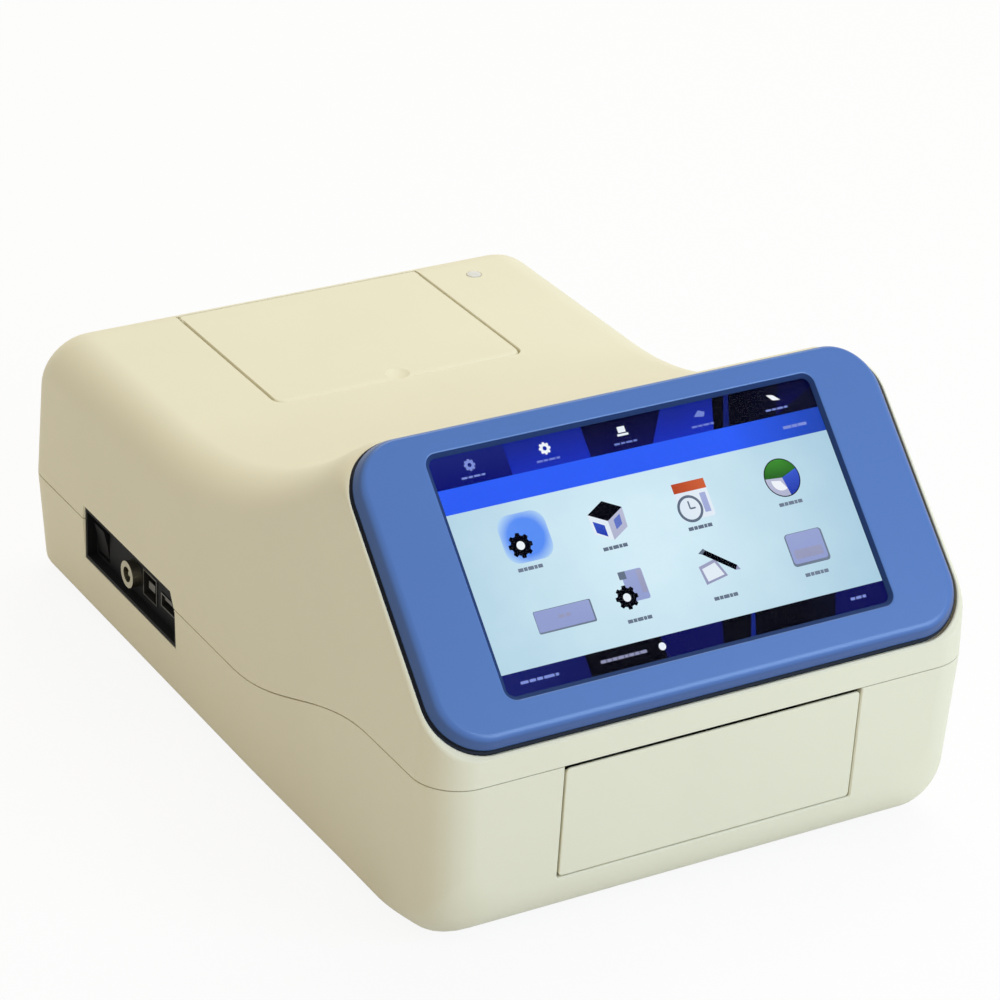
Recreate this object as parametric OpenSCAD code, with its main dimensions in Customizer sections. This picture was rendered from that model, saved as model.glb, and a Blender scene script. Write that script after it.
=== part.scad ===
// Bench-top microplate spectrophotometer with a sloping touch screen.
// Front is -Y, right is +X, up is +Z. The origin lies on the table under the middle of the housing.

/* [Body] */
// Width of the housing across the parting line
body_w = 220; // [200:1:240]
// Depth of the housing across the parting line
body_d = 340; // [310:1:380]
// Height of the rear deck above the table
deck_z = 104; // [103.5:0.5:116]
// Wall thickness of both housings
wall = 2.8; // [2.2:0.1:3.2]
// Plan radius of the four upright corners
corner_r = 17; // [12:1:19]
// Radius between the deck and the sides
shoulder_r = 19; // [12:1:20]
// Radius along the top of the rear wall
rear_edge_r = 22; // [14:1:22]
// Radius under the front face
chin_r = 20; // [12:1:22]
// Radius under the rear face
heel_r = 12; // [6:1:16]
// Radius along the lower side edges
hem_r = 5; // [4:0.5:10]
// Radius of the lower side edges where they meet the front
hem_front_r = 17; // [8:1:18]
// Draft of the upper sides in degrees
side_draft = 1; // [0.5:0.1:1.2]
// Draft of the lower sides in degrees
base_draft = 2.4; // [1:0.1:3]
// Outward lean of the front face in degrees
front_lean = 2.7; // [1:0.1:4]
// Lean of the rear wall above and below the parting line in degrees
rear_lean = 5.5; // [2:0.5:6]

/* [Parting line] */
// Height of the parting line along the rear part of the sides
part_rear_z = 42.5; // [40:0.5:46]
// Height of the parting line at the front
part_front_z = 69; // [68:0.5:72]
// Distance from the front to the lower end of the S-curve
part_low_set = 152; // [140:1:165]
// Distance from the front to the upper end of the S-curve
part_high_set = 48; // [40:1:60]
// Open groove between the two housings
seam = 0.4; // [0.2:0.1:0.8]

/* [Screen] */
// Tilt of the screen from level in degrees
screen_tilt = 45.4; // [44:0.1:47]
// Width of the picture
lcd_w = 154; // [150:1:160]
// Height of the picture
lcd_h = 86; // [82:1:88]
// Rim of the upper housing left at each side of the bezel
bezel_margin = 3.4; // [2.8:0.1:4]
// Height of the bezel along the slope
bezel_h = 111.6; // [110:0.2:114]
// Corner radius of the bezel
bezel_r = 20; // [14:1:22]
// Distance by which the bezel's middle lies below the picture's middle
bezel_drop = 2.85; // [2:0.05:3.5]
// Height of the bezel's face above the picture
bezel_rise = 2.6; // [2.2:0.1:3]
// Slope of the bevel round the bezel, from its face, in degrees
bevel_tilt = 55; // [45:1:65]
// Radius between the bezel's face and its bevel
crease_r = 4; // [2:0.5:5]
// Width of the inner bevel down to the glass
lip_w = 1.8; // [1:0.1:3]
// Cream strip between the parting line and the bezel
strip_h = 12; // [11:0.5:14]
// Gap between the bezel and its seat
bezel_gap = 1; // [0.6:0.1:1.2]

/* [Door] */
// Width of the door flap
door_w = 119; // [112:1:122]
// Height of the door flap
door_h = 43.6; // [42:0.2:44.4]
// Thickness of the door flap
door_t = 3; // [2.6:0.1:3.4]
// Gap at the sides and bottom of the door
door_gap = 0.7; // [0.5:0.1:1]
// Gap over the top of the door
door_top_gap = 1.4; // [1.2:0.1:1.8]
// Radius of the door's hinge pin
door_pin_r = 1.2; // [1:0.1:1.4]

/* [Hatch] */
// Width of the hatch cover
hatch_w = 106.4; // [96:0.4:112]
// Length of the hatch cover
hatch_l = 89; // [86:1:94]
// Distance from the hatch to the rear of the housing
hatch_set = 23; // [21:1:26]
// Thickness of the hatch cover
hatch_t = 2.6; // [2.2:0.1:2.8]
// Gap round the hatch cover
hatch_gap = 0.7; // [0.4:0.1:0.8]
// Radius of the round thumb dent in the hatch
dent_r = 4.5; // [3:0.5:6]
// Depth of the thumb dent
dent_depth = 0.8; // [0.4:0.1:1]
// Radius of the hatch's hinge barrel
barrel_r = 3.2; // [3:0.1:3.4]
// Radius of the hatch's hinge pin
hatch_pin_r = 1.2; // [1:0.1:1.4]

/* [Connector recess] */
// Distance from the recess to the rear of the housing
recess_set = 57; // [55:1:60]
// Length of the recess
recess_l = 82; // [80:1:84]
// Height of the recess floor above the table
recess_z = 25.5; // [24:0.5:27]
// Height of the recess
recess_h = 22.5; // [21:0.5:24]
// Depth from the side of the housing to the black panel
recess_depth = 5; // [4.5:0.5:6]
// Clearance of the panel's tub in its cut-out
tub_gap = 0.25; // [0.2:0.05:0.4]

/* [Plate carriage] */
// Length of a standard microplate
plate_l = 127.8; // [127:0.1:128.5]
// Width of a standard microplate
plate_w = 85.5; // [85:0.1:86]
// Clearance round the plate in its pocket
plate_fit = 0.4; // [0.3:0.1:0.8]
// Rim of the tray round the pocket
tray_rim = 6; // [5:0.5:6.5]
// Height of the tray's underside above the table
tray_z = 27; // [26.5:0.1:28]
// Depth of the plate pocket
pocket_depth = 8; // [6:0.5:9]
// Thickness of the tray's floor
tray_floor = 3; // [2:0.2:4]
// Ledge under the edge of the plate
ledge = 4; // [3:0.5:5]
// Length of the tail that runs on the rails
tail_l = 36; // [32:1:38]
// Distance from the parked tail to the rear of the housing
tail_set = 23.4; // [22:0.1:26]
// Radius of a guide rail
rail_r = 4; // [3:0.5:4.5]
// Distance from the side of the tray in to the rails
rail_inset = 5.15; // [4.5:0.05:6]
// Height of the rails above the table
rail_z = 20; // [19.5:0.1:20.5]

/* [Drive] */
// Pitch radius of the belt on its pulleys
pitch_r = 6.37; // [5.8:0.1:6.8]
// Width of the belt
belt_w = 6; // [5:0.5:7]
// Thickness of the belt
belt_t = 1.4; // [1:0.1:1.6]
// Distance from the belt to the side of the housing
belt_set = 44; // [43.5:0.5:44.5]
// Height of the pulley axes above the table
pulley_z = 26; // [25.5:0.1:26.5]
// Side of the square motor
motor_side = 28; // [26:1:28]
// Length of the motor
motor_l = 26; // [22:1:28]

/* [Optics] */
// Pitch of the wells and of the eight channels
well_pitch = 9; // [8.5:0.1:9.2]
// Distance from the front to the reading line
read_set = 125; // [122:1:128]
// Height of the bridge beam's underside
beam_z = 56; // [54:0.5:58]
// Radius of a channel lens
lens_r = 3.4; // [2.6:0.1:3.8]
// Height of the optical axis above the table
axis_z = 78.5; // [78.2:0.1:79.5]
// Distance of the optical axis left of the middle
axis_set = 8; // [4:0.5:12]
// Radius of the filter wheel
wheel_r = 18; // [17.6:0.1:18.4]
// Pitch radius of the filters
filter_pitch = 12.5; // [12:0.1:12.6]
// Radius of a filter
filter_r = 4.4; // [3.5:0.1:4.8]
// Number of filters
filter_count = 6; // [4:1:7]
// Radius of the light guide
guide_r = 3.5; // [2.5:0.1:3.8]

/* [Fan and feet] */
// Side of the square fan
fan_side = 35; // [30:1:36]
// Depth of the fan
fan_t = 10; // [8:1:11]
// Number of fan blades
fan_blades = 7; // [5:1:9]
// Height of the rubber feet
foot_h = 3; // [2:0.5:4]
// Radius of a rubber foot
foot_r = 8; // [6:0.5:10]

/* [Hidden] */
$fn = 48;
eps = 0.01;
front = -body_d / 2;
back = body_d / 2;
turn_r = max(corner_r, chin_r, rear_edge_r);
running = 0.3;
fit = 0.05;
pin_play = 0.1;
past = 5;

// Screen slope: the seat plane lies just under the picture plane.
seat_drop = 1.5;
seat_depth = 3;
bezel_lip = 1.7;
crest_rim = 2.4;
bezel_w = body_w - 2 * bezel_margin;
bezel_low = -bezel_drop - bezel_h / 2;
bezel_top = -bezel_drop + bezel_h / 2;
sin_t = sin(screen_tilt);
cos_t = cos(screen_tilt);
lcd_y = front + bezel_lip - bezel_low * cos_t - seat_drop * sin_t;
lcd_z = part_front_z + strip_h - bezel_low * sin_t + seat_drop * cos_t;
crest_y = lcd_y + (bezel_top + crest_rim) * cos_t + seat_drop * sin_t;
crest_z = lcd_z + (bezel_top + crest_rim) * sin_t - seat_drop * cos_t;
slope_inner = seat_depth + wall;
glass_t = 1.1;
panel_w = lcd_w + 11;
panel_h = lcd_h + 8;
panel_gap = 0.3;
panel_back = -seat_drop - slope_inner;
window_gap = 1;
bezel_edge = -seat_drop + 0.4;
crease_in = crease_r * sin(bevel_tilt);
crease_low = bezel_rise - crease_r * (1 - cos(bevel_tilt));
bevel_w = crease_in + (crease_low - bezel_edge) / tan(bevel_tilt);
lip_low = glass_t + 0.4;
lcd_r = 3;
panel_r = 2;
glass_top = glass_t + 0.1;

// Hatch on the flat deck, with the ramp starting at its front edge.
hatch_y0 = back - hatch_set - hatch_l;
hatch_y1 = back - hatch_set;
hinge_y = hatch_y1 - barrel_r;
hinge_z = deck_z - barrel_r;
swing_room = 0.5;
dent_y = hatch_y0 + 6;
dent_ball = (dent_r * dent_r + dent_depth * dent_depth) / (2 * dent_depth);
hatch_r = 4.5;
ledge_w = 4;
ledge_out = 5;
ledge_t = 2.4;
ledge_y1 = hinge_y - 6;
sill_w = 8;
hinge_ear_l = 8;
pin_out = 4;
hinge_ear_h = 6.4;
hinge_ear_drop = 1.2;
ramp_y = hatch_y0 - 2;
deck_in = deck_z - wall;

// Door hinge axis, measured along the leaning front face.
door_axis_in = door_t;
door_axis_down = door_top_gap + 5.1;
barrel_x = 44;
door_barrel_r = 2.9;
door_barrel_l = 16;
ear_t = 5;
ear_h = 8;
ear_root = 0.6;
ear_past = 3.4;
door_reach = door_w / 2 + door_gap + 1 + ear_t;
door_clear = 1.6;
relief_in = 0.8;
relief_down = 2.1;

// Inner levels
floor_z = foot_h + wall;
chassis_t = 2;
chassis_z = floor_z + 3.2;
chassis_top = chassis_z + chassis_t;
chassis_w = body_w - 52;
chassis_y0 = front + 15;
chassis_y1 = back - 10;

// Case fixing posts, front pair and rear pair
post_r = 4.5;
post_x = body_w / 2 - 12;
post_places = [for (s = [-1, 1], y = [front + 62, back - 44]) [s * post_x, y]];
screw_r = 1.5;
head_r = 2.8;
head_h = 2;
head_room = 0.4;
seat_below = 12;
screw_reach = 11;
boss_h = screw_reach + 5;
boss_web = body_w / 2 - post_x - wall / 2;
web_t = 2.4;

// Carriage places
tray_l = plate_l + 2 * (plate_fit + tray_rim);
tray_w = plate_w + 2 * (plate_fit + tray_rim);
tray_h = tray_floor + pocket_depth;
tail_y1 = back - tail_set;
tray_y1 = tail_y1 - tail_l;
tray_y0 = tray_y1 - tray_l;
belt_x = body_w / 2 - belt_set;
rail_x = tray_w / 2 - rail_inset;
bush_r = rail_r + 2;
bush_l = 10;
block_w = 15;
rail_y0 = front + 7;
rail_y1 = tail_y1 + 11;
support_y = tail_y1 + 4;
support_l = 7;
support_w = 13;
rail_seat_w = 14;
rail_seat_l = 5;
rail_seat_root = 2.3;
rail_seat_h = 10;
rail_bore_l = 7;

// Drive places
drive_y = front + 28;
idler_y = tail_y1 + 10;
run_z = pulley_z + pitch_r;
flange_r = pitch_r + 1.6;
flange_t = 1.2;
shaft_r = 2.5;
arm_l = 12;
jaw_z0 = run_z - belt_t / 2 - running;
jaw_z1 = run_z + belt_t / 2 + running;
jaw_x = belt_x - belt_w / 2 - 1;
arm_x1 = belt_x + belt_w / 2 + 2;
clamp_t = 2;
motor_x = belt_x + belt_w / 2 + 5;
bracket_t = 2;

// Optics places
read_y = front + read_set;
lane_x = [for (k = [0:7]) (k - 3.5) * well_pitch];
beam_h = 18;
beam_l = 30;
beam_y0 = read_y - beam_l / 2;
beam_y1 = read_y + beam_l / 2;
leg_w = 8;
leg_x = chassis_w / 2 - leg_w / 2;
lane_reach = 3.5 * well_pitch;
shelf_z = beam_z + 2;
shelf_t = 2;
shelf_top = shelf_z + shelf_t;
shelf_y0 = read_y + 65;
shelf_y1 = back - 10;
shelf_x0 = -leg_x - 2;
shelf_x1 = body_w / 2 - 18;
axis_x = -axis_set;
wheel_x = axis_x + filter_pitch;
lamp_y0 = hatch_y0 + 37;
lamp_l = 42;
wheel_t = 4;
wheel_y = lamp_y0 - 8;
bracket_y = wheel_y - 4;
wheel_motor_r = 7.5;
wheel_motor_l = 17;
lamp_bore = 9;
fan_x = body_w / 2 - 36.5;
fan_y = back - 14;
rotor_r = fan_side / 2 - 2.2;
slot_count = 9;
slot_pitch = 3.4;
slot_w = 1.6;
slot_low = 6;
slot_high = 30;
slot_reach = 16;
foot_places = [for (sx = [-1, 1], sy = [-1, 1]) [sx * (body_w / 2 - 30), sy * (body_d / 2 - 34)]];
screw_x = chassis_w / 2 - 14;
screw_rows = [chassis_y0 + 45, (chassis_y0 + chassis_y1) / 2, chassis_y1 - 45];
stud_r = 4;
bolt_r = 1.2;
bolt_head_r = 2.8;
bolt_head_h = 2;
screw_places = [for (sx = [-1, 1], y = screw_rows) [sx * screw_x, y]];
peg_r = 2.5;
peg_h = 1.5;
status_r = 2.9;
status_flange = 4;
lens_place = [body_w / 2 - 36.7, back - 36.8];

// Small functions
function lerp(a, b, t) = a + (b - a) * t;
function clamp(v, lo, hi) = min(hi, max(lo, v));
function smooth(t) = let (c = clamp(t, 0, 1)) c * c * (3 - 2 * c);
function reversed(list) = [for (k = [len(list) - 1:-1:0]) list[k]];

// How far a round edge of radius r has cut in, at distance d from its end
function arc_drop(r, d) = d >= r ? 0 : r - sqrt(max(0, r * r - (r - max(d, 0)) * (r - max(d, 0))));

// Height of the parting line along the sides
function part_z(y) =
  lerp(part_rear_z, part_front_z, smooth((front + part_low_set - y) / (part_low_set - part_high_set)));

// Half width at the parting line, for the outside (t = 0) or the inside (t = wall)
function half_w(y, t) =
  body_w / 2 - t - arc_drop(corner_r - t, y - front - t) - arc_drop(corner_r - t, back - t - y);

// Top line of the upper housing: screen slope, ramp behind the crest, flat deck, rounded rear edge
function slope_z(y, n) = lcd_z + (y - lcd_y) * tan(screen_tilt) - (seat_drop + n) / cos_t;
function ramp_z(y, t) =
  deck_z - t + (crest_z - deck_z) * pow(clamp((ramp_y - y) / (ramp_y - crest_y), 0, 2), 2);
function top_z(y, t) =
  min(slope_z(y, t == 0 ? 0 : slope_inner), ramp_z(y, t)) - arc_drop(rear_edge_r - t, back - t - y);

// Edge radius along the top: a thin rim beside the bezel, the shoulder radius on the deck
function bezel_half(y) =
  let (s = bezel_top - (y - lcd_y - seat_drop * sin_t) / cos_t)
  bezel_w / 2 - arc_drop(bezel_r, s);
function rim_r(y, t) =
  let (w = half_w(y, 0) - (top_z(y, 0) - part_z(y)) * tan(side_draft))
  let (beside = clamp(w - bezel_half(y) - 0.6, 1.2, bezel_r + 1))
  let (behind = lerp(bezel_r, shoulder_r, clamp((y - crest_y) / 60, 0, 1)))
  max(0.8, (y < crest_y ? beside : behind) - t);

// Bottom line and lower edge radius of the base
function bottom_z(y, t) =
  foot_h + t + arc_drop(chin_r - t, y - front - t) + arc_drop(heel_r - t, back - t - y);
function hem(y, t) = max(0.8, lerp(hem_front_r, hem_r, smooth((y - front) / 45)) - t);

// Half sections from the parting line to the middle, as points [x, z]
arc_steps = [15:15:90];
function upper_half(y, t) =
  let (zp = part_z(y) + seam / 2, zt = top_z(y, t))
  let (r = min(rim_r(y, t), (zt - zp) * 0.9), w = half_w(y, t), k = tan(side_draft))
  let (zc = zt - r, xc = w - (zc - zp) * k - r)
  concat([[w, zp], [xc + r, zc]], [for (a = arc_steps) [xc + r * cos(a), zc + r * sin(a)]]);
function base_half(y, t) =
  let (zp = part_z(y) - seam / 2, zb = bottom_z(y, t))
  let (r = min(hem(y, t), (zp - zb) * 0.9), w = half_w(y, t), k = tan(base_draft))
  let (zc = zb + r, xc = w - (zp - zc) * k - r)
  concat([[w, zp], [xc + r, zc]], [for (a = arc_steps) [xc + r * cos(a), zc - r * sin(a)]]);

// Lean of the end walls, which fades out away from the ends
function lean_y(y, z, upper) =
  let (h = abs(z - part_z(y)))
  let (at_front = upper ? 0 : 1 - smooth((y - front) / 60), at_back = 1 - smooth((back - y) / 70))
  y + h * (tan(front_lean) * at_front - tan(rear_lean) * at_back);

function section(half, y, upper) =
  let (pts = concat([for (p = half) [-p[0], p[1]]], reversed(half)))
  [for (p = pts) [p[0], lean_y(y, p[1], upper), p[1]]];

// Stations along the depth: close at the rounded ends and at the crest
corner_y = crest_y - (bezel_r + crest_rim) * cos_t;
stations = concat(
  [for (a = [0:15:75]) front + turn_r * (1 - cos(a))],
  [for (k = [0:4]) lerp(front + turn_r, corner_y, k / 5)],
  [for (k = [0:5]) lerp(corner_y, crest_y, k / 6)],
  [for (k = [0:11]) lerp(crest_y, ramp_y, k / 12)],
  [ramp_y],
  [for (a = [90:-15:0]) back - turn_r * (1 - cos(a))]
);
function inside_y(y) = lerp(front + wall, back - wall, (y - front) / body_d);

// Closed skin between an outer and an inner row of sections, open along the parting line
module skin(outer, inner, upper) {
  m = len(outer);
  n = len(outer[0]);
  o = m * n;
  points = concat([for (s = outer) each s], [for (s = inner) each s]);
  function quad(a, b, c, d) = [[a, d, c], [a, c, b]];
  sheet = [for (i = [0:m - 2], j = [0:n - 2])
    each quad(i * n + j, i * n + j + 1, (i + 1) * n + j + 1, (i + 1) * n + j)];
  lining = [for (f = sheet) reversed([for (v = f) v + o])];
  caps = [[for (j = [0:n - 1]) j], [for (j = [n - 1:-1:0]) (m - 1) * n + j],
          [for (j = [n - 1:-1:0]) o + j], [for (j = [0:n - 1]) o + (m - 1) * n + j]];
  rims = [for (i = [0:m - 2]) each concat(
    quad(i * n, (i + 1) * n, o + (i + 1) * n, o + i * n),
    quad(o + i * n + n - 1, o + (i + 1) * n + n - 1, (i + 1) * n + n - 1, i * n + n - 1))];
  ends = concat(quad(0, o, o + n - 1, n - 1),
    quad(o + (m - 1) * n, (m - 1) * n, (m - 1) * n + n - 1, o + (m - 1) * n + n - 1));
  faces = concat(sheet, lining, caps, rims, ends);
  polyhedron(points, upper ? faces : [for (f = faces) reversed(f)]);
}

// Frames of reference for the slope and the leaning front face
module on_slope() translate([0, lcd_y, lcd_z]) rotate([screen_tilt, 0, 0]) children();
module on_front() translate([0, front, part_front_z]) rotate([front_lean, 0, 0]) children();
module along_x(x0, l) translate([x0, 0, 0]) rotate([0, 90, 0]) linear_extrude(l) children();
module rod_x(x0, l, r) translate([x0, 0, 0]) rotate([0, 90, 0]) cylinder(h = l, r = r);
module rod_y(y0, l, r) translate([0, y0, 0]) rotate([-90, 0, 0]) cylinder(h = l, r = r);
module box(x0, x1, y0, y1, z0, z1) translate([x0, y0, z0]) cube([x1 - x0, y1 - y0, z1 - z0]);

// Plate with round corners, centred
module round_rect(w, h, r) {
  square([w - 2 * r, h], center = true);
  square([w, h - 2 * r], center = true);
  for (sx = [-1, 1], sy = [-1, 1]) translate([sx * (w / 2 - r), sy * (h / 2 - r)]) circle(r);
}
module round_plate(w, h, r, z0, z1) translate([0, 0, z0]) linear_extrude(z1 - z0) round_rect(w, h, r);

// Ring of points round a plate with round corners, for the bezel's loft
function ring(w, h, r, n, v) =
  [for (c = [0:3], k = [0:8])
    let (a = c * 90 + k * 11.25, sx = (c == 0 || c == 3) ? 1 : -1, sy = c < 2 ? 1 : -1)
    [sx * (w / 2 - r) + r * cos(a), v + sy * (h / 2 - r) + r * sin(a), n]];

// Outline of the connector recess, as seen from the left side, in [y, z]
recess_y1 = back - recess_set;
recess_y0 = recess_y1 - recess_l;
module recess_outline(grow) {
  y0 = recess_y0 - grow;
  y1 = recess_y1 + grow;
  z0 = recess_z - grow;
  z1 = recess_z + recess_h + grow;
  polygon([[y0, z0], [y1, z0], [y1, z1], [y0 + 4, z1], [y0, z1 - 7]]);
}
module recess_block(x0, x1, grow)
  translate([x0, 0, 0]) rotate([90, 0, 90]) linear_extrude(x1 - x0) recess_outline(grow);
panel_x = -body_w / 2 + recess_depth;
recess_cut = 9;

// Case fixing posts
module post(p, z0, z1, r) translate([p[0], p[1], z0]) cylinder(h = z1 - z0, r = r);

// Sub-parts

module base_shell() color([0.89, 0.87, 0.79]) {
  low = -(door_top_gap + door_h + door_gap);
  difference() {
    union() {
      skin([for (y = stations) section(base_half(y, 0), y, false)],
           [for (y = stations) let (v = inside_y(y)) section(base_half(v, wall), v, false)], false);
      for (p = post_places) post(p, foot_h + wall / 2, part_z(p[1]) - seam / 2, post_r);
      for (p = screw_places) post(p, foot_h + wall / 2, chassis_z, stud_r);
      for (s = [-1, 1]) {
        on_front() translate([s * (door_w / 2 + door_gap + 1 + ear_t / 2), 0, -door_axis_down])
          translate([-ear_t / 2, wall - ear_root, -ear_h / 2])
            cube([ear_t, door_axis_in + ear_past + ear_root - wall, ear_h]);
        translate([s * rail_x, rail_y0, rail_z])
          box(-rail_seat_w / 2, rail_seat_w / 2, -rail_seat_root, rail_seat_l,
              -rail_seat_h / 2, rail_seat_h / 2);
      }
    }
    on_front() translate([-door_w / 2 - door_gap, -past, low])
      cube([door_w + 2 * door_gap, past + wall + door_clear, door_h * 2]);
    on_front() translate([0, door_axis_in, -door_axis_down])
      rod_x(-door_reach, 2 * door_reach, door_pin_r + fit);
    recess_block(-body_w / 2 - past, -body_w / 2 + recess_cut, 0);
    for (p = post_places) {
      post(p, -1, part_z(p[1]) - seam / 2 - seat_below, head_r + head_room);
      post(p, -1, part_z(p[1]) + 1, screw_r + pin_play);
    }
    for (p = screw_places) post(p, floor_z, chassis_z + 1, bolt_r + fit);
    for (p = foot_places) post(p, foot_h - 1, foot_h + peg_h + pin_play, peg_r + pin_play);
    for (s = [-1, 1]) translate([s * rail_x, 0, rail_z]) rod_y(rail_y0, rail_bore_l, rail_r + fit);
  }
}

module upper_shell() color([0.92, 0.90, 0.80]) {
  difference() {
    union() {
      skin([for (y = stations) section(upper_half(y, 0), y, true)],
           [for (y = stations) let (v = inside_y(y)) section(upper_half(v, wall), v, true)], true);
      for (p = post_places) {
        z0 = part_z(p[1]) + seam / 2;
        post(p, z0, z0 + boss_h, post_r);
        s = sign(p[0]);
        box(min(p[0], p[0] + s * boss_web), max(p[0], p[0] + s * boss_web), p[1] - web_t / 2,
            p[1] + web_t / 2, z0 + 1, z0 + boss_h);
      }
      box(-hatch_w / 2 - ledge_out, hatch_w / 2 + ledge_out, hatch_y0 - ledge_out, ledge_y1,
          deck_in - ledge_t, deck_in + 0.4);
      for (s = [-1, 1])
        translate([s * (hatch_w / 2 + hatch_gap + ear_t / 2), hinge_y, hinge_z - hinge_ear_drop])
          cube([ear_t, hinge_ear_l, hinge_ear_h], center = true);
    }
    on_slope() translate([0, -bezel_drop, 0])
      round_plate(bezel_w + 2 * bezel_gap, bezel_h + 2 * bezel_gap, bezel_r + bezel_gap,
                  -seat_drop - seat_depth, 20);
    on_slope() round_plate(panel_w + 2 * window_gap, panel_h + 2 * window_gap, panel_r, -30, 0);
    translate([0, (hatch_y0 + hatch_y1) / 2, 0])
      round_plate(hatch_w + 2 * hatch_gap, hatch_l + 2 * hatch_gap, hatch_r + hatch_gap,
                  deck_z - hatch_t - fit, deck_z + past);
    translate([0, (hatch_y0 + sill_w + hatch_y1) / 2, 0])
      round_plate(hatch_w - 2 * ledge_w, hatch_l - sill_w + 2 * hatch_gap, ledge_w,
                  deck_in - 4 * past, deck_z + past);
    box(-hatch_w / 2 - hatch_gap, hatch_w / 2 + hatch_gap, hinge_y - barrel_r - hatch_gap,
        hatch_y1 + hatch_gap + swing_room, deck_in - 4 * past, deck_z + past);
    translate([0, hinge_y, hinge_z]) rod_x(-hatch_w / 2 - pin_out, hatch_w + 2 * pin_out, hatch_pin_r + fit);
    recess_block(-body_w / 2 - past, -body_w / 2 + recess_cut, 0);
    for (k = [0:slot_count - 1]) translate([fan_x + (k - (slot_count - 1) / 2) * slot_pitch, back, shelf_top])
      box(-slot_w / 2, slot_w / 2, -slot_reach, past, slot_low, slot_high);
    for (p = post_places) post(p, part_z(p[1]) - 1, part_z(p[1]) + screw_reach + 2, screw_r + fit);
    post(lens_place, deck_in - past, deck_z + past, status_r + pin_play);
  }
}

// Outline of the bezel, drawn in by e at height n over the picture
function bezel_ring(e, n) = ring(bezel_w - 2 * e, bezel_h - 2 * e, bezel_r - e, n, -bezel_drop);
module screen_bezel() color([0.31, 0.47, 0.74]) {
  low = -seat_drop - seat_depth;
  tub_w = panel_w + 2 * panel_gap;
  tub_h = panel_h + 2 * panel_gap;
  rings = concat(
    [bezel_ring(0, low), bezel_ring(0, bezel_edge)],
    [for (a = [bevel_tilt:-bevel_tilt / 4:0])
      bezel_ring(bevel_w - crease_r * sin(a), bezel_rise - crease_r * (1 - cos(a)))],
    [ring(lcd_w + 2 * lip_w, lcd_h + 2 * lip_w, lip_w + lcd_r, bezel_rise, 0),
     ring(lcd_w, lcd_h, lcd_r, lip_low, 0),
     ring(lcd_w, lcd_h, lcd_r, glass_top, 0),
     ring(tub_w, tub_h, panel_r, glass_top, 0),
     ring(tub_w, tub_h, panel_r, low, 0)]);
  m = len(rings);
  n = len(rings[0]);
  faces = [for (i = [0:m - 1], j = [0:n - 1])
    let (row = i * n, next_row = ((i + 1) % m) * n, next_j = (j + 1) % n)
    each [[row + j, next_row + j, next_row + next_j], [row + j, next_row + next_j, row + next_j]]];
  on_slope() polyhedron([for (r = rings) each r], faces);
}

module touch_glass() color([0.55, 0.75, 0.9]) on_slope() round_plate(panel_w, panel_h, panel_r, 0, glass_t);

module display_module() color([0.2, 0.22, 0.3]) on_slope() {
  round_plate(panel_w, panel_h, 1.5, panel_back + 2, 0);
  round_plate(panel_w - 14, panel_h - 16, 1, panel_back, panel_back + 2);
}

module display_bracket() color([0.72, 0.73, 0.75]) on_slope() {
  difference() {
    round_plate(panel_w + 14, panel_h - 6, 4, panel_back - 1.5, panel_back);
    for (s = [-1, 1]) translate([s * 30, -30, 0]) round_plate(32, 6, 2.5, panel_back - 3, panel_back + 1);
  }
  for (sx = [-1, 1], sy = [-1, 1])
    translate([sx * (panel_w / 2 - 10.5), sy * (panel_h / 2 - 11), panel_back - 11])
      cylinder(h = 10, r = 2.5);
}

module control_board() color([0.1, 0.35, 0.2]) on_slope() {
  top = panel_back - 11;
  round_plate(panel_w - 13, panel_h - 14, 2, top - 1.6, top);
  for (p = [[-38, 8, 22, 22], [10, 12, 30, 16], [48, -14, 18, 26], [-44, -24, 34, 8]])
    translate([p[0] - p[2] / 2, p[1] - p[3] / 2, top - 4]) cube([p[2], p[3], 2.4]);
}

module door_flap() color([0.90, 0.88, 0.80]) on_front() {
  mid = -door_top_gap - door_h / 2;
  difference() {
    union() {
      translate([0, door_t, mid]) rotate([90, 0, 0]) round_plate(door_w, door_h, 1.5, 0, door_t);
      translate([0, door_t + 1.6, mid - 3]) rotate([90, 0, 0]) difference() {
        round_plate(door_w - 12, door_h - 16, 3, 0, 1.7);
        round_plate(door_w - 16, door_h - 20, 2, -1, 3);
      }
      for (s = [-1, 1]) translate([0, door_axis_in, -door_axis_down])
        rod_x(s * barrel_x - door_barrel_l / 2, door_barrel_l, door_barrel_r);
    }
    translate([0, door_axis_in, -door_axis_down]) rod_x(-door_w, 2 * door_w, door_pin_r + pin_play);
    along_x(-door_w, 2 * door_w) polygon([[door_top_gap, relief_in], [door_top_gap - 1, relief_in],
      [door_top_gap - 1, door_t + 1], [door_top_gap + relief_down, door_t + 1],
      [door_top_gap + relief_down, door_t]]);
  }
}

module door_pin() color([0.75, 0.76, 0.78]) on_front() {
  translate([0, door_axis_in, -door_axis_down]) rod_x(-door_reach, 2 * door_reach, door_pin_r);
}

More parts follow.
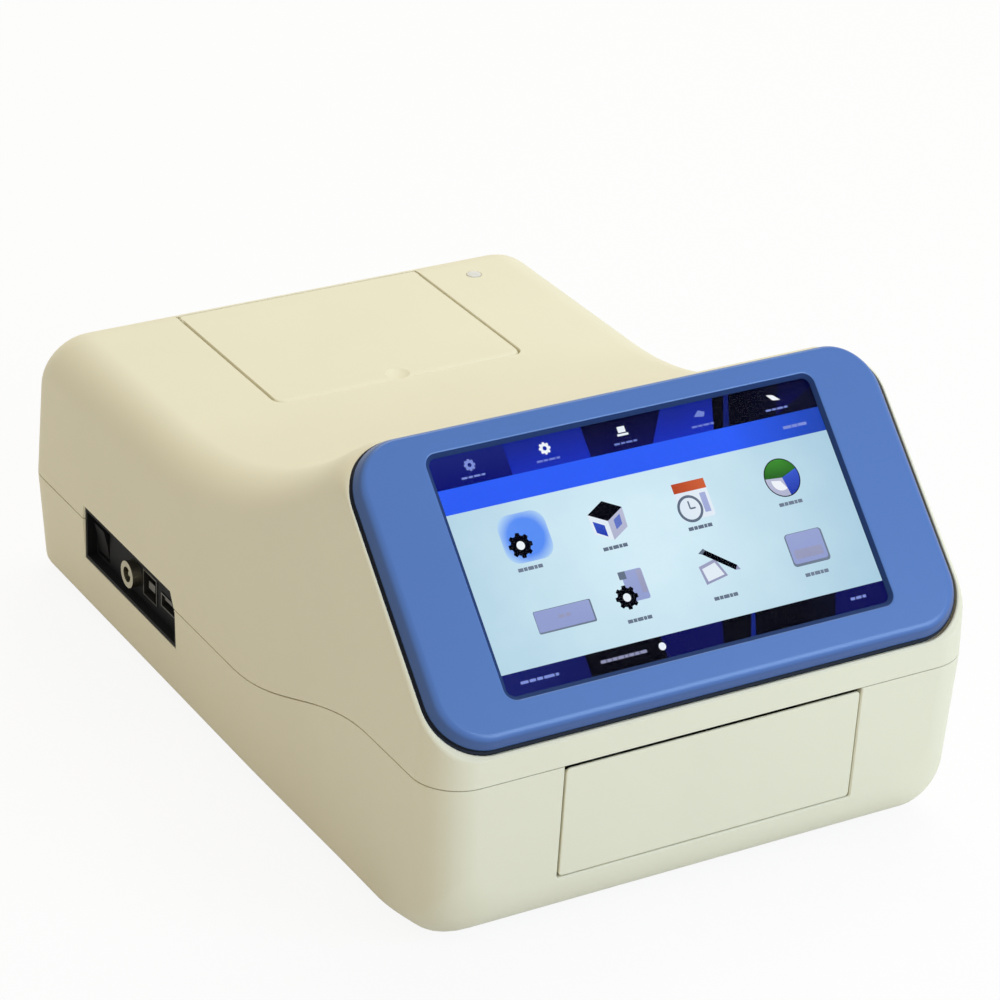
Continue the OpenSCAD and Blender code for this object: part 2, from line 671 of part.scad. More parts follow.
module hatch_cover() color([0.92, 0.90, 0.80]) {
  plate_l2 = hinge_y - hatch_y0;
  difference() {
    union() {
      intersection() {
        translate([0, hatch_y0 + hatch_l / 2, 0])
          round_plate(hatch_w, hatch_l, hatch_r, deck_z - hatch_t, deck_z);
        box(-hatch_w, hatch_w, hatch_y0 - 1, hinge_y, 0, deck_z + 1);
      }
      translate([0, hinge_y, hinge_z]) rod_x(-hatch_w / 2, hatch_w, barrel_r);
      translate([0, hatch_y0 + plate_l2 / 2 + 2, 0]) difference() {
        round_plate(hatch_w - 10, plate_l2 - 20, 3, deck_z - hatch_t - 2, deck_z - hatch_t + 0.5);
        round_plate(hatch_w - 14, plate_l2 - 24, 2, deck_z - hatch_t - 3, deck_z);
      }
    }
    translate([0, hinge_y, hinge_z]) rod_x(-hatch_w, 2 * hatch_w, hatch_pin_r + pin_play);
    translate([0, dent_y, deck_z + dent_ball - dent_depth]) sphere(dent_ball);
  }
}

module hatch_pin() color([0.75, 0.76, 0.78])
  translate([0, hinge_y, hinge_z]) rod_x(-hatch_w / 2 - pin_out, hatch_w + 2 * pin_out, hatch_pin_r);

module indicator_lens() color([0.6, 0.68, 0.78]) translate([lens_place[0], lens_place[1], deck_in - 1]) {
  cylinder(h = wall + 1.4, r = status_r);
  translate([0, 0, -1]) cylinder(h = 1, r = status_flange);
}

// Connectors, in order from the rear of the recess to its front, by distance from its front end
jack_y = recess_y0 + 44.5;
switch_y = recess_y0 + 73.5;
data_y = recess_y0 + 31;
usb_y = recess_y0 + 14.5;
collar_r = 5.4;
collar_l = 3.8;
port_z = recess_z + recess_h / 2 - 1;
panel_t = 2;
port_x1 = panel_x + 14;

module connector_panel() color([0.06, 0.06, 0.07]) difference() {
  union() {
    difference() {
      recess_block(-body_w / 2 + 0.9, panel_x + panel_t, -tub_gap);
      recess_block(-body_w / 2 - 1, panel_x, -tub_gap - 1.4);
    }
    translate([0, switch_y, port_z]) box(panel_x + 1, panel_x + 10, -6.6, 6.6, -9, 9);
  }
  difference() {
    translate([0, switch_y, port_z]) box(panel_x - 1, panel_x + 8.6, -5.2, 5.2, -7.7, 7.7);
    translate([panel_x + 1.5, 0, port_z]) rod_y(switch_y - 7, 14, 1);
  }
  translate([0, jack_y, port_z]) rod_x(panel_x - 1, 9, 4.6);
  translate([0, data_y, port_z]) box(panel_x - 1, panel_x + 9, -6.1, 6.1, -5.6, 5.6);
  translate([0, usb_y, port_z]) box(panel_x - 1, panel_x + 9, -6.9, 6.9, -3.2, 3.2);
}

module rocker_switch() color([0.12, 0.12, 0.13]) translate([panel_x, switch_y, port_z]) difference() {
  translate([0, 4.4, 0]) rotate([90, 0, 0]) linear_extrude(8.8)
    polygon([[-2.2, 6.4], [-0.7, 0], [0.2, -6.4], [5.4, -5.4], [6.6, 0], [5.4, 6.4]]);
  translate([1.5, 0, 0]) rod_y(-9, 18, 1 + pin_play);
}

module power_jack() color([0.78, 0.78, 0.76]) translate([0, jack_y, port_z]) {
  difference() {
    union() {
      rod_x(panel_x - collar_l, collar_l, collar_r);
      rod_x(panel_x, port_x1 - panel_x, 4.5);
    }
    rod_x(panel_x - collar_l - 1, collar_l + 10, 3.1);
  }
  rod_x(panel_x - collar_l + 1, collar_l + 9, 1);
}

module socket(w, h) difference() {
  box(panel_x - 0.4, port_x1, -w / 2, w / 2, -h / 2, h / 2);
  box(panel_x - 1, panel_x + 9, -w / 2 + 0.5, w / 2 - 0.5, -h / 2 + 0.5, h / 2 - 0.5);
}
module usb_port() color([0.72, 0.73, 0.75]) translate([0, usb_y, port_z]) {
  socket(13.2, 5.8);
  box(panel_x + 0.5, panel_x + 9.2, -5.2, 5.2, 0.2, 2);
}
module data_port() color([0.72, 0.73, 0.75]) translate([0, data_y, port_z]) {
  socket(12, 11);
  box(panel_x + 0.5, panel_x + 9.2, -2.8, 2.8, -1.6, 1.6);
}

module connector_board() color([0.1, 0.35, 0.2]) {
  box(port_x1, port_x1 + 1.6, recess_y0 + 3, recess_y1 - 3, chassis_top, recess_z + recess_h + 4);
  box(panel_x + 10, port_x1, switch_y - 2, switch_y + 2, port_z - 4, port_z + 4);
}

module chassis_plate() color([0.74, 0.75, 0.77]) difference() {
  union() {
    box(-chassis_w / 2, chassis_w / 2, chassis_y0, chassis_y1, chassis_z, chassis_top);
    box(port_x1 - 2, -chassis_w / 2 + 1, recess_y0, recess_y1 - 4, chassis_z, chassis_top);
  }
  for (p = screw_places) post(p, 0, chassis_top + 1, bolt_r + 0.5);
}

module chassis_screws() color([0.7, 0.7, 0.72]) for (p = screw_places) {
  post(p, chassis_top, chassis_top + bolt_head_h, bolt_head_r);
  post(p, floor_z + 0.5, chassis_top, bolt_r);
}

module guide_rails() color([0.8, 0.81, 0.83]) for (s = [-1, 1])
  translate([s * rail_x, 0, rail_z]) rod_y(rail_y0, rail_y1 - rail_y0, rail_r);

module rail_supports() color([0.6, 0.61, 0.64]) for (s = [-1, 1]) difference() {
  translate([s * rail_x, support_y, chassis_top])
    box(-support_w / 2, support_w / 2, 0, support_l, 0, rail_z + 5 - chassis_top);
  translate([s * rail_x, 0, rail_z]) rod_y(support_y - 1, support_l + 2, rail_r + fit);
}

module plate_carriage() color([0.16, 0.16, 0.18]) difference() {
  union() {
    translate([0, (tray_y0 + tray_y1) / 2, 0]) round_plate(tray_w, tray_l, 5, tray_z, tray_z + tray_h);
    box(-tray_w / 2, tray_w / 2, tray_y1 - 6, tail_y1, tray_z, tray_z + tray_h - 2);
    for (s = [-1, 1])
      box(s * rail_x - block_w / 2, s * rail_x + block_w / 2, tray_y1, tail_y1, chassis_top + 2, tray_z + 1);
    box(tray_w / 2 - 5, arm_x1, tail_y1 - arm_l, tail_y1, tray_z + 1, tray_z + tray_h - 2);
    box(-tray_w / 2 - 10, -tray_w / 2 + 5, tail_y1 - 14, tail_y1 - 4, tray_z, tray_z + 3);
    box(-tray_w / 2 - 10, -tray_w / 2 - 9, tail_y1 - 14, tail_y1 - 4, chassis_top + 5, tray_z + 3);
  }
  translate([0, (tray_y0 + tray_y1) / 2, 0]) {
    round_plate(plate_w + 2 * plate_fit, plate_l + 2 * plate_fit, 2.5, tray_z + tray_floor, tray_z + 50);
    round_plate(plate_w - 2 * ledge, plate_l - 2 * ledge, 3, tray_z - 1, tray_z + 50);
    translate([0, -tray_l / 2, 0]) round_plate(26, 2 * tray_rim + 2, 5, tray_z + tray_floor, tray_z + 50);
  }
  clip_slot(plate_w / 2 + plate_fit + 3.4, tray_z + tray_floor);
  for (s = [-1, 1]) translate([s * rail_x, 0, rail_z]) rod_y(tray_y1 - 1, tail_l + 2, bush_r + fit);
  box(jaw_x, arm_x1 + 1, tail_y1 - arm_l - 1, tail_y1 + 1, jaw_z0, jaw_z1);
}
clip_y = tray_y0 + 24;
clip_l = 26;
module clip_slot(x1, z0) box(plate_w / 2 - 1, x1, clip_y, clip_y + clip_l, z0, tray_z + 60);

module carriage_bushings() color([0.72, 0.58, 0.3]) for (s = [-1, 1], y = [tray_y1 + 1, tail_y1 - bush_l - 1])
  translate([s * rail_x, 0, rail_z]) difference() {
    rod_y(y, bush_l, bush_r);
    rod_y(y - 1, bush_l + 2, rail_r + pin_play);
  }

// Leaf spring that pushes the plate into the corner of its pocket
module plate_clip() color([0.8, 0.8, 0.82]) {
  x1 = plate_w / 2 + plate_fit + 3.4;
  translate([0, 0, tray_z + tray_floor]) linear_extrude(pocket_depth - 1) polygon([
    [x1, clip_y + 1], [x1, clip_y + 10], [x1 - 2.9, clip_y + 20], [x1 - 2.2, clip_y + 25],
    [x1 - 2.6, clip_y + 25.2], [x1 - 3.4, clip_y + 20], [x1 - 0.6, clip_y + 9.8], [x1 - 0.6, clip_y + 1]]);
}

module belt_clamp() color([0.6, 0.61, 0.64])
  box(arm_x1, arm_x1 + clamp_t, tail_y1 - arm_l, tail_y1, tray_z + 1, tray_z + tray_h - 2);

module drive_motor() color([0.2, 0.2, 0.22]) translate([motor_x + bracket_t, drive_y, pulley_z]) {
  difference() {
    along_x(0, motor_l) round_rect(motor_side, motor_side, 3);
    rod_x(-1, 5, shaft_r + 0.4);
  }
}

module motor_bracket() color([0.74, 0.75, 0.77]) {
  half = motor_side / 2;
  difference() {
    union() {
      box(motor_x, motor_x + bracket_t, drive_y - half - 1, drive_y + half + 1, chassis_top,
          pulley_z + half + 1);
      box(motor_x, chassis_w / 2, drive_y - half, drive_y + half, chassis_top, pulley_z - half);
    }
    translate([0, drive_y, pulley_z]) rod_x(motor_x - 1, bracket_t + 2, 9);
  }
}

// Toothed wheel for the belt, with a flange at each side
teeth = 20;
module pulley(bore) {
  body_r = pitch_r - belt_t / 2 - running;
  track = belt_w + 2 * running;
  difference() {
    union() {
      rod_x(belt_x - track / 2 - flange_t, track + 2 * flange_t, body_r);
      for (x = [belt_x - track / 2 - flange_t, belt_x + track / 2]) rod_x(x, flange_t, flange_r);
    }
    rod_x(0, 2 * belt_x, bore);
    for (k = [0:teeth - 1]) rotate([k * 360 / teeth, 0, 0]) translate([belt_x, 0, body_r])
      cube([track, 0.9, 1], center = true);
  }
}
module drive_pulley() color([0.78, 0.79, 0.8]) translate([0, drive_y, pulley_z]) {
  pulley(shaft_r - eps);
  rod_x(belt_x - 5, motor_x + bracket_t + 3.5 - belt_x + 5, shaft_r);
}
module idler_pulley() color([0.78, 0.79, 0.8]) translate([0, idler_y, pulley_z]) pulley(2 + pin_play);

// Angle bracket with the idler's pin standing out from its upright side
module idler_bracket() color([0.74, 0.75, 0.77]) {
  x0 = belt_x - belt_w / 2 - 2;
  x1 = belt_x + belt_w / 2 + 5;
  box(x1 - bracket_t, x1, idler_y - 7, chassis_y1, chassis_top, pulley_z + 5);
  box(x0, x1, idler_y - 7, chassis_y1, chassis_top, chassis_top + bracket_t);
  translate([0, idler_y, pulley_z]) rod_x(x0, x1 - x0, 2);
}

module drive_belt() color([0.08, 0.08, 0.09]) translate([belt_x - belt_w / 2, 0, 0]) rotate([90, 0, 90])
  linear_extrude(belt_w) difference() {
    stadium(pitch_r + belt_t / 2);
    stadium(pitch_r - belt_t / 2);
  }
module stadium(r) {
  for (y = [drive_y, idler_y]) translate([y, pulley_z]) circle(r);
  translate([drive_y, pulley_z - r]) square([idler_y - drive_y, 2 * r]);
}

// Fork light barrier that the carriage's flag runs into
module home_sensor() color([0.1, 0.1, 0.11]) {
  x = -tray_w / 2 - 9.5;
  y0 = tail_y1 - 17;
  difference() {
    box(x - 4.5, x + 4.5, y0, y0 + 16, chassis_top, chassis_top + 13);
    box(x - 1.6, x + 1.6, y0 - 1, y0 + 20, chassis_top + 4, chassis_top + 20);
  }
}

module optics_bridge() color([0.62, 0.63, 0.66]) difference() {
  union() {
    box(-leg_x - leg_w / 2, leg_x + leg_w / 2, beam_y0, beam_y1, beam_z, beam_z + beam_h);
    for (s = [-1, 1])
      box(s * leg_x - leg_w / 2, s * leg_x + leg_w / 2, beam_y0, beam_y1, chassis_top, beam_z + 1);
    box(-lane_reach - 6.5, lane_reach + 6.5, read_y - 11, read_y + 11, beam_z + beam_h - 1, axis_z + 8);
  }
  for (x = lane_x) post([x, read_y], beam_z - 1, beam_z + 8, lens_r + fit);
  for (x = lane_x) post([x, read_y], beam_z, beam_z + beam_h, 2);
  translate([axis_x, 0, axis_z]) rod_y(read_y + 1, 20, guide_r + fit);
}

module bridge_lenses() color([0.7, 0.85, 0.95]) for (x = lane_x)
  post([x, read_y], beam_z + 1, beam_z + 5, lens_r);

module detector_board() color([0.1, 0.35, 0.2]) {
  box(-lane_reach - 3.5, lane_reach + 3.5, read_y - 15, read_y + 15, chassis_top + 5, chassis_top + 6.6);
  for (sx = [-1, 1], sy = [-1, 1]) post([sx * 20, read_y + sy * 12], chassis_top, chassis_top + 5, 2.5);
}

module detector_cells() color([0.15, 0.15, 0.2]) for (x = lane_x)
  post([x, read_y], chassis_top + 6.6, chassis_top + 10.6, 3);

module optics_shelf() color([0.74, 0.75, 0.77]) difference() {
  box(shelf_x0, shelf_x1, shelf_y0, shelf_y1, shelf_z, shelf_top);
  box(shelf_x0 - 1, fan_x - fan_side / 2 - 26, hatch_y1 - 3, back, shelf_z - 1, shelf_top + 1);
  for (k = [0:5])
    box(shelf_x0 + 8 + k * 7, shelf_x0 + 12 + k * 7, lamp_y0 - 10, lamp_y0 + 24, shelf_z - 1, shelf_top + 1);
}

module shelf_posts() color([0.8, 0.81, 0.83]) for (sx = [-1, 1], y = [shelf_y0 + 6, hatch_y1 - 9])
  post([sx * (leg_x - 2), y], chassis_top, shelf_z, 4);

module lamp_house() color([0.55, 0.56, 0.58]) difference() {
  box(axis_x - 16, axis_x + 16, lamp_y0, lamp_y0 + lamp_l, shelf_top, axis_z + 17);
  translate([axis_x, 0, axis_z]) rod_y(lamp_y0 - 1, 35, lamp_bore);
  for (k = [0:5])
    box(axis_x - 20, axis_x + 20, lamp_y0 + 8 + k * 5.5, lamp_y0 + 11 + k * 5.5, axis_z + 11, axis_z + 30);
}

module halogen_lamp() color([0.9, 0.92, 0.95]) translate([axis_x, 0, axis_z]) {
  rod_y(lamp_y0 + 24, 10, 5);
  rod_y(lamp_y0 + 14, 10, 3.4);
  translate([0, lamp_y0 + 14, 0]) sphere(3.4);
}

module condenser_lens() color([0.7, 0.85, 0.95]) translate([axis_x, 0, axis_z])
  rod_y(lamp_y0 + 1, 5, lamp_bore - fit);

module filter_places() for (k = [0:filter_count - 1])
  translate([wheel_x, 0, axis_z]) rotate([0, 180 + k * 360 / filter_count, 0])
    translate([filter_pitch, 0, 0]) children();
module filter_wheel() color([0.14, 0.14, 0.16]) {
  difference() {
    translate([wheel_x, 0, axis_z]) rod_y(wheel_y - wheel_t / 2, wheel_t, wheel_r);
    filter_places() rod_y(wheel_y - wheel_t, 2 * wheel_t, filter_r + fit);
  }
  translate([wheel_x, 0, axis_z]) rod_y(wheel_y - wheel_t / 2 - 1.5, wheel_t + 4, 4);
  translate([wheel_x, 0, axis_z]) rod_y(bracket_y - 6, wheel_y - bracket_y + 6, 1.5);
}

module wheel_filters() color([0.75, 0.45, 0.8]) filter_places() rod_y(wheel_y - 1.2, 2.4, filter_r);

module wheel_motor() color([0.75, 0.75, 0.76]) translate([wheel_x, 0, axis_z]) difference() {
  rod_y(bracket_y - bracket_t - wheel_motor_l, wheel_motor_l, wheel_motor_r);
  rod_y(bracket_y - bracket_t - 5, 6, 1.8);
}

module wheel_bracket() color([0.74, 0.75, 0.77]) difference() {
  union() {
    box(axis_x - 9, wheel_x + 12, bracket_y - bracket_t, bracket_y, shelf_top, axis_z + 12);
    box(axis_x - 9, wheel_x + 12, bracket_y - 12, bracket_y, shelf_top, shelf_top + bracket_t);
  }
  translate([wheel_x, 0, axis_z]) rod_y(bracket_y - 5, 10, 1.8);
  translate([axis_x, 0, axis_z]) rod_y(bracket_y - 5, 10, guide_r + fit);
}

module light_guide() color([0.15, 0.15, 0.16]) translate([axis_x, 0, axis_z])
  rod_y(read_y + 1.5, bracket_y - read_y - 1.5, guide_r);

module fan_frame() color([0.1, 0.1, 0.11]) translate([fan_x, fan_y, shelf_top + fan_side / 2]) {
  difference() {
    rotate([90, 0, 0]) round_plate(fan_side, fan_side, 3, 0, fan_t);
    rod_y(-fan_t - 1, fan_t + 2, rotor_r + 0.7);
  }
  rod_y(-1.5, 1.5, 8);
  for (a = [45:90:315]) rotate([0, a, 0]) box(7, fan_side / 2 - 1, -1.5, 0, -1, 1);
  rod_y(-fan_t + 3, fan_t - 3, 1.2);
}

module fan_rotor() color([0.13, 0.13, 0.14]) translate([fan_x, fan_y, shelf_top + fan_side / 2]) {
  difference() {
    rod_y(-fan_t + 0.5, fan_t - 2.5, 7.5);
    rod_y(-fan_t + 2.5, fan_t, 1.5);
  }
  for (k = [0:fan_blades - 1]) rotate([0, k * 360 / fan_blades, 0]) translate([0, -fan_t / 2 - 0.75, 0])
    rotate([35, 0, 0]) box(7, rotor_r, -0.5, 0.5, -3.6, 3.6);
}

module rubber_feet() color([0.12, 0.12, 0.12]) for (p = foot_places) {
  post(p, 0, foot_h, foot_r);
  post(p, foot_h, foot_h + peg_h, peg_r);
}

module case_screws() color([0.7, 0.7, 0.72]) for (p = post_places) {
  seat = part_z(p[1]) - seam / 2 - seat_below;
  post(p, seat - head_h, seat, head_r);
  post(p, seat, part_z(p[1]) + screw_reach, screw_r);
}

base_shell();
upper_shell();
screen_bezel();
touch_glass();
display_module();
display_bracket();
control_board();
door_flap();
door_pin();
hatch_cover();
hatch_pin();
indicator_lens();
connector_panel();
rocker_switch();
power_jack();
usb_port();
data_port();
connector_board();
chassis_plate();
chassis_screws();
guide_rails();
rail_supports();
plate_carriage();
carriage_bushings();
plate_clip();
belt_clamp();
drive_motor();
motor_bracket();
drive_pulley();
idler_pulley();
idler_bracket();
drive_belt();
home_sensor();
optics_bridge();
bridge_lenses();
detector_board();
detector_cells();
optics_shelf();
shelf_posts();
lamp_house();
halogen_lamp();
condenser_lens();
filter_wheel();
wheel_filters();
wheel_motor();
wheel_bracket();
light_guide();
fan_frame();
fan_rotor();
rubber_feet();
case_screws();
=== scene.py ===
import math

import bmesh
import bpy
from mathutils import Matrix, Vector


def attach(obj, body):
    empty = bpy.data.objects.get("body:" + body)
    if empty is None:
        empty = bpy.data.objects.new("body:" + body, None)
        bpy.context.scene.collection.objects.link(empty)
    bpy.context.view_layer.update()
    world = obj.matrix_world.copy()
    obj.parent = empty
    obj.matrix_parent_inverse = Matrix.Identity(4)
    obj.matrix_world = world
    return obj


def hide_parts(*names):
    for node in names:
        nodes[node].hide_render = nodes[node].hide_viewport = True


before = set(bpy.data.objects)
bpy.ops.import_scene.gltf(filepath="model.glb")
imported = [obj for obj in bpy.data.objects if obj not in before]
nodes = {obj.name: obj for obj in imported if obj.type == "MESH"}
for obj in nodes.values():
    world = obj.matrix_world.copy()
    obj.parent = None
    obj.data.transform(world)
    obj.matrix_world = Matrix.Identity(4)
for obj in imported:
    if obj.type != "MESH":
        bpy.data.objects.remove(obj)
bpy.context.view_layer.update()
scene = bpy.context.scene
MM = 0.001

# Sizes in millimetres, as in the solids

BODY_W, BODY_D, DECK_Z, WALL = 220.0, 340.0, 104.0, 2.8
CORNER_R, SHOULDER_R, REAR_R, CHIN_R, HEEL_R = 17.0, 19.0, 22.0, 20.0, 12.0
HEM_R, HEM_FRONT_R, SIDE_DRAFT, BASE_DRAFT = 5.0, 17.0, 1.0, 2.4
FRONT_LEAN, REAR_LEAN, FOOT_H = 2.7, 5.5, 3.0
PART_REAR, PART_FRONT, PART_LOW, PART_HIGH, SEAM = 42.5, 69.0, 152.0, 48.0, 0.4
TILT, LCD_W, LCD_H = 45.4, 154.0, 86.0
BEZEL_MARGIN, BEZEL_H, BEZEL_R, BEZEL_DROP, BEZEL_RISE = 3.4, 111.6, 20.0, 2.85, 2.6
BEVEL_TILT, CREASE_R, LIP_W, LCD_R, GLASS_T = math.radians(55), 4.0, 1.8, 3.0, 1.1
STRIP_H, BEZEL_GAP, SEAT_DROP, SEAT_DEPTH = 12.0, 1.0, 1.5, 3.0
SLOPE_SET, CREST_OVER, RAMP_SET = 1.7, 2.4, 2.0
DOOR_W, DOOR_H, DOOR_T, DOOR_GAP, DOOR_TOP = 119.0, 43.6, 3.0, 0.7, 1.4
DOOR_HINGE_X, DOOR_PIN_DROP, DOOR_BARREL_R, DOOR_BARREL_L = 44.0, 5.1, 2.9, 16.0
RELIEF_IN, RELIEF_DOWN = 0.8, 2.1
HATCH_W, HATCH_L, HATCH_SET, HATCH_T, HATCH_GAP = 106.4, 89.0, 23.0, 2.6, 0.7
BARREL_R, PIN_HOLE_R, SWING_ROOM, SILL_W, EAR_T = 3.2, 1.3, 0.5, 8.0, 5.0
LEDGE_W, LEDGE_T, LEDGE_OUT, LEDGE_REAR = 4.0, 2.4, 5.0, 6.0
DOOR_RIB_SIDE, DOOR_RIB_END, DOOR_RIB_DROP = 12.0, 16.0, 3.0
LID_RIB_SIDE, LID_RIB_END, LID_RIB_BACK = 10.0, 20.0, 2.0
RECESS_SET, RECESS_L, RECESS_Z, RECESS_H, RECESS_CUT_Y, RECESS_CUT_Z = 201.0, 82.0, 25.5, 22.5, 4.0, 7.0
POST_X, POST_FRONT, POST_BACK, POST_R, POST_H, POST_HOLE_R, SCREW_R = 98.0, 62.0, 44.0, 4.5, 16.0, 1.6, 3.2
WEB_T, WEB_IN, WEB_OUT, HEAD_SEAT = 2.4, 3.5, 10.6, 12.0
RAIL_X, RAIL_SEAT_W, RAIL_SEAT_Y, RAIL_SEAT_Z = 44.0, 14.0, (4.8, 12.0), (15.0, 25.0)
DOOR_EAR_X, DOOR_EAR_Y, DOOR_EAR_Z = (61.2, 66.2), (2.2, 6.4), (-10.5, -2.5)
STUD_X, STUD_FRONT, STUD_MIDDLE, STUD_BACK = 70.0, 60.0, 2.5, 55.0
STUD_R, STUD_LOW, STUD_TOP = 4.0, 4.4, 9.0
LENS_X, LENS_SET, LENS_R, LENS_HOLE_R, LENS_FLANGE_R = 73.3, 36.8, 2.9, 3.0, 4.0
GRILLE_X, GRILLE_Z, GRILLE_PITCH, GRILLE_N, SLOT_W, SLOT_H, SLOT_R = 73.5, 78.0, 3.4, 9, 1.6, 24.0, 0.75
SLOT_REACH, WINDOW_SIDE, WINDOW_END = 16.0, 13.0, 10.0
FOOT_X, FOOT_SET, FOOT_R = 80.0, 34.0, 8.0

# Finer detail that only the scene has, in millimetres

DENT_R, DENT_DEPTH, DENT_SET = 5.0, 1.1, 4.4
HATCH_R, LID_EDGE, LID_SIDE_EDGE, LID_FRONT_EDGE, REAR_EDGE = 4.5, 1.4, 0.4, 3.8, 0.9
LID_SLACK, LID_TAIL, LID_FRONT_GAP = 0.3, 2.7, 0.2
# The bezel's flange reaches into the gap round it and carries painted shadow there
BEZEL_LIFT, BEZEL_TRIM, BEZEL_SHADE_FLANGE, TOP_BEVEL, SEAT_CHAMFER = 0.6, 0.3, 0.9, 0.4, 0.35
CREST_BLEND, CREST_PASSES, CREST_STEP, CREST_PULL = 16.0, 40, 1.3, 0.6
SHOULDER_X, SHOULDER_BAND, EDGE_LIP, SOFT = 84.0, 14.0, 0.3, 0.4

# Steps of an arc, a rib's insets, corners and tips, and how far the cutters reach past a surface

ARC_N, ARC_STEP = 12, 7.5
RIB = ((0, 3, False), (0.3, 2.8, True), (3.7, 2.2, True), (4, 2, False))
CUT_PAST, CUT_ABOVE, CUT_BELOW, SLOPE_ABOVE, SLOPE_BELOW = 5.0, 9.0, 22.0, 20.0, 30.0

# Places that follow from the sizes

FRONT, BACK = -BODY_D / 2, BODY_D / 2
SIN_T, COS_T = math.sin(math.radians(TILT)), math.cos(math.radians(TILT))
BEZEL_W = BODY_W - 2 * BEZEL_MARGIN
BEZEL_LOW, BEZEL_TOP = -BEZEL_DROP - BEZEL_H / 2, -BEZEL_DROP + BEZEL_H / 2
SEAT_LOW = -SEAT_DROP - SEAT_DEPTH
LCD_Y = FRONT + SLOPE_SET - BEZEL_LOW * COS_T - SEAT_DROP * SIN_T
LCD_Z = PART_FRONT + STRIP_H - BEZEL_LOW * SIN_T + SEAT_DROP * COS_T
CREST_Y = LCD_Y + (BEZEL_TOP + CREST_OVER) * COS_T + SEAT_DROP * SIN_T
CREST_Z = LCD_Z + (BEZEL_TOP + CREST_OVER) * SIN_T - SEAT_DROP * COS_T
HATCH_Y0, HATCH_Y1 = BACK - HATCH_SET - HATCH_L, BACK - HATCH_SET
HINGE_Y, HINGE_Z = HATCH_Y1 - BARREL_R, DECK_Z - BARREL_R
RAMP_Y = HATCH_Y0 - RAMP_SET
LENS_Y = BACK - LENS_SET
TURN_R = max(CORNER_R, CHIN_R)
SLOPE = Matrix.Translation((0, LCD_Y, LCD_Z)) @ Matrix.Rotation(math.radians(TILT), 4, "X")
FACE = Matrix.Translation((0, FRONT, PART_FRONT)) @ Matrix.Rotation(math.radians(FRONT_LEAN), 4, "X")
DOOR_FACE = FACE @ Matrix.Rotation(math.radians(90), 4, "X")
POSTS = [(s * POST_X, y) for s in (-1, 1) for y in (FRONT + POST_FRONT, BACK - POST_BACK)]
STUDS = [(s * STUD_X, y) for s in (-1, 1) for y in (FRONT + STUD_FRONT, STUD_MIDDLE, BACK - STUD_BACK)]


# Camera at the photograph's viewing angle

CAMERA_TURN, CAMERA_TILT, CAMERA_ROLL = -30.61, 26.87, 2.17
CAMERA_SPOT, CAMERA_LENS, CAMERA_SENSOR, CAMERA_REACH = (-651.43, -1119.42, 734.72), 139.416, 36, 20


def add_camera():
    az, el, roll = (math.radians(a) for a in (CAMERA_TURN, CAMERA_TILT, CAMERA_ROLL))
    right = Vector((math.cos(az), math.sin(az), 0))
    up = Vector((-math.sin(az) * math.sin(el), math.cos(az) * math.sin(el), math.cos(el)))
    back = Vector((math.sin(az) * math.cos(el), -math.cos(az) * math.cos(el), math.sin(el)))
    x_axis = right * math.cos(roll) + up * math.sin(roll)
    y_axis = up * math.cos(roll) - right * math.sin(roll)
    data = bpy.data.cameras.new("camera")
    data.sensor_width = CAMERA_SENSOR
    data.lens = CAMERA_LENS
    data.clip_end = CAMERA_REACH
    cam = bpy.data.objects.new("camera", data)
    scene.collection.objects.link(cam)
    turn = Matrix((x_axis, y_axis, back)).transposed().to_4x4()
    turn.translation = Vector(CAMERA_SPOT) * MM
    cam.matrix_world = turn
    scene.camera = cam


add_camera()


# Materials: tone drift, roughness drift, fine grain and worn edges, all from nodes; the bezel's materials
# also carry painted shade

COAT_ROUGH, GRAIN_DEPTH = 0.12, 0.0003
WEAR_R, WEAR_FLAT, WEAR_SHARP = 0.0006, 0.99, 0.86


def srgb(r, g, b):
    def lin(c):
        c /= 255
        return c / 12.92 if c <= 0.04045 else ((c + 0.055) / 1.055) ** 2.4
    return (lin(r), lin(g), lin(b), 1)


def shade(c, k):
    return tuple(min(1, max(0, v * k)) for v in c[:3]) + (1,)


# Painted shade: mixes in a darker colour towards the low end along the screen slope's normal, standing in
# for the shade on the bezel's bevel
def painted_bevel_shade(tree, coord, color, painted_shade):
    deep, low, high = painted_shade
    new, link = tree.nodes.new, tree.links.new
    upward = SLOPE.col[2].to_3d()
    level = SLOPE.translation.dot(upward)
    height = new("ShaderNodeVectorMath")
    height.operation = "DOT_PRODUCT"
    height.inputs[1].default_value = upward
    link(coord.outputs["Object"], height.inputs[0])
    share = new("ShaderNodeMapRange")
    share.interpolation_type = "SMOOTHSTEP"
    share.inputs["From Min"].default_value = (level + low) * MM
    share.inputs["From Max"].default_value = (level + high) * MM
    link(height.outputs["Value"], share.inputs["Value"])
    shade_mix = new("ShaderNodeMix")
    shade_mix.data_type = "RGBA"
    shade_mix.inputs["A"].default_value = deep
    link(share.outputs["Result"], shade_mix.inputs["Factor"])
    link(color, shade_mix.inputs["B"])
    return shade_mix.outputs["Result"]


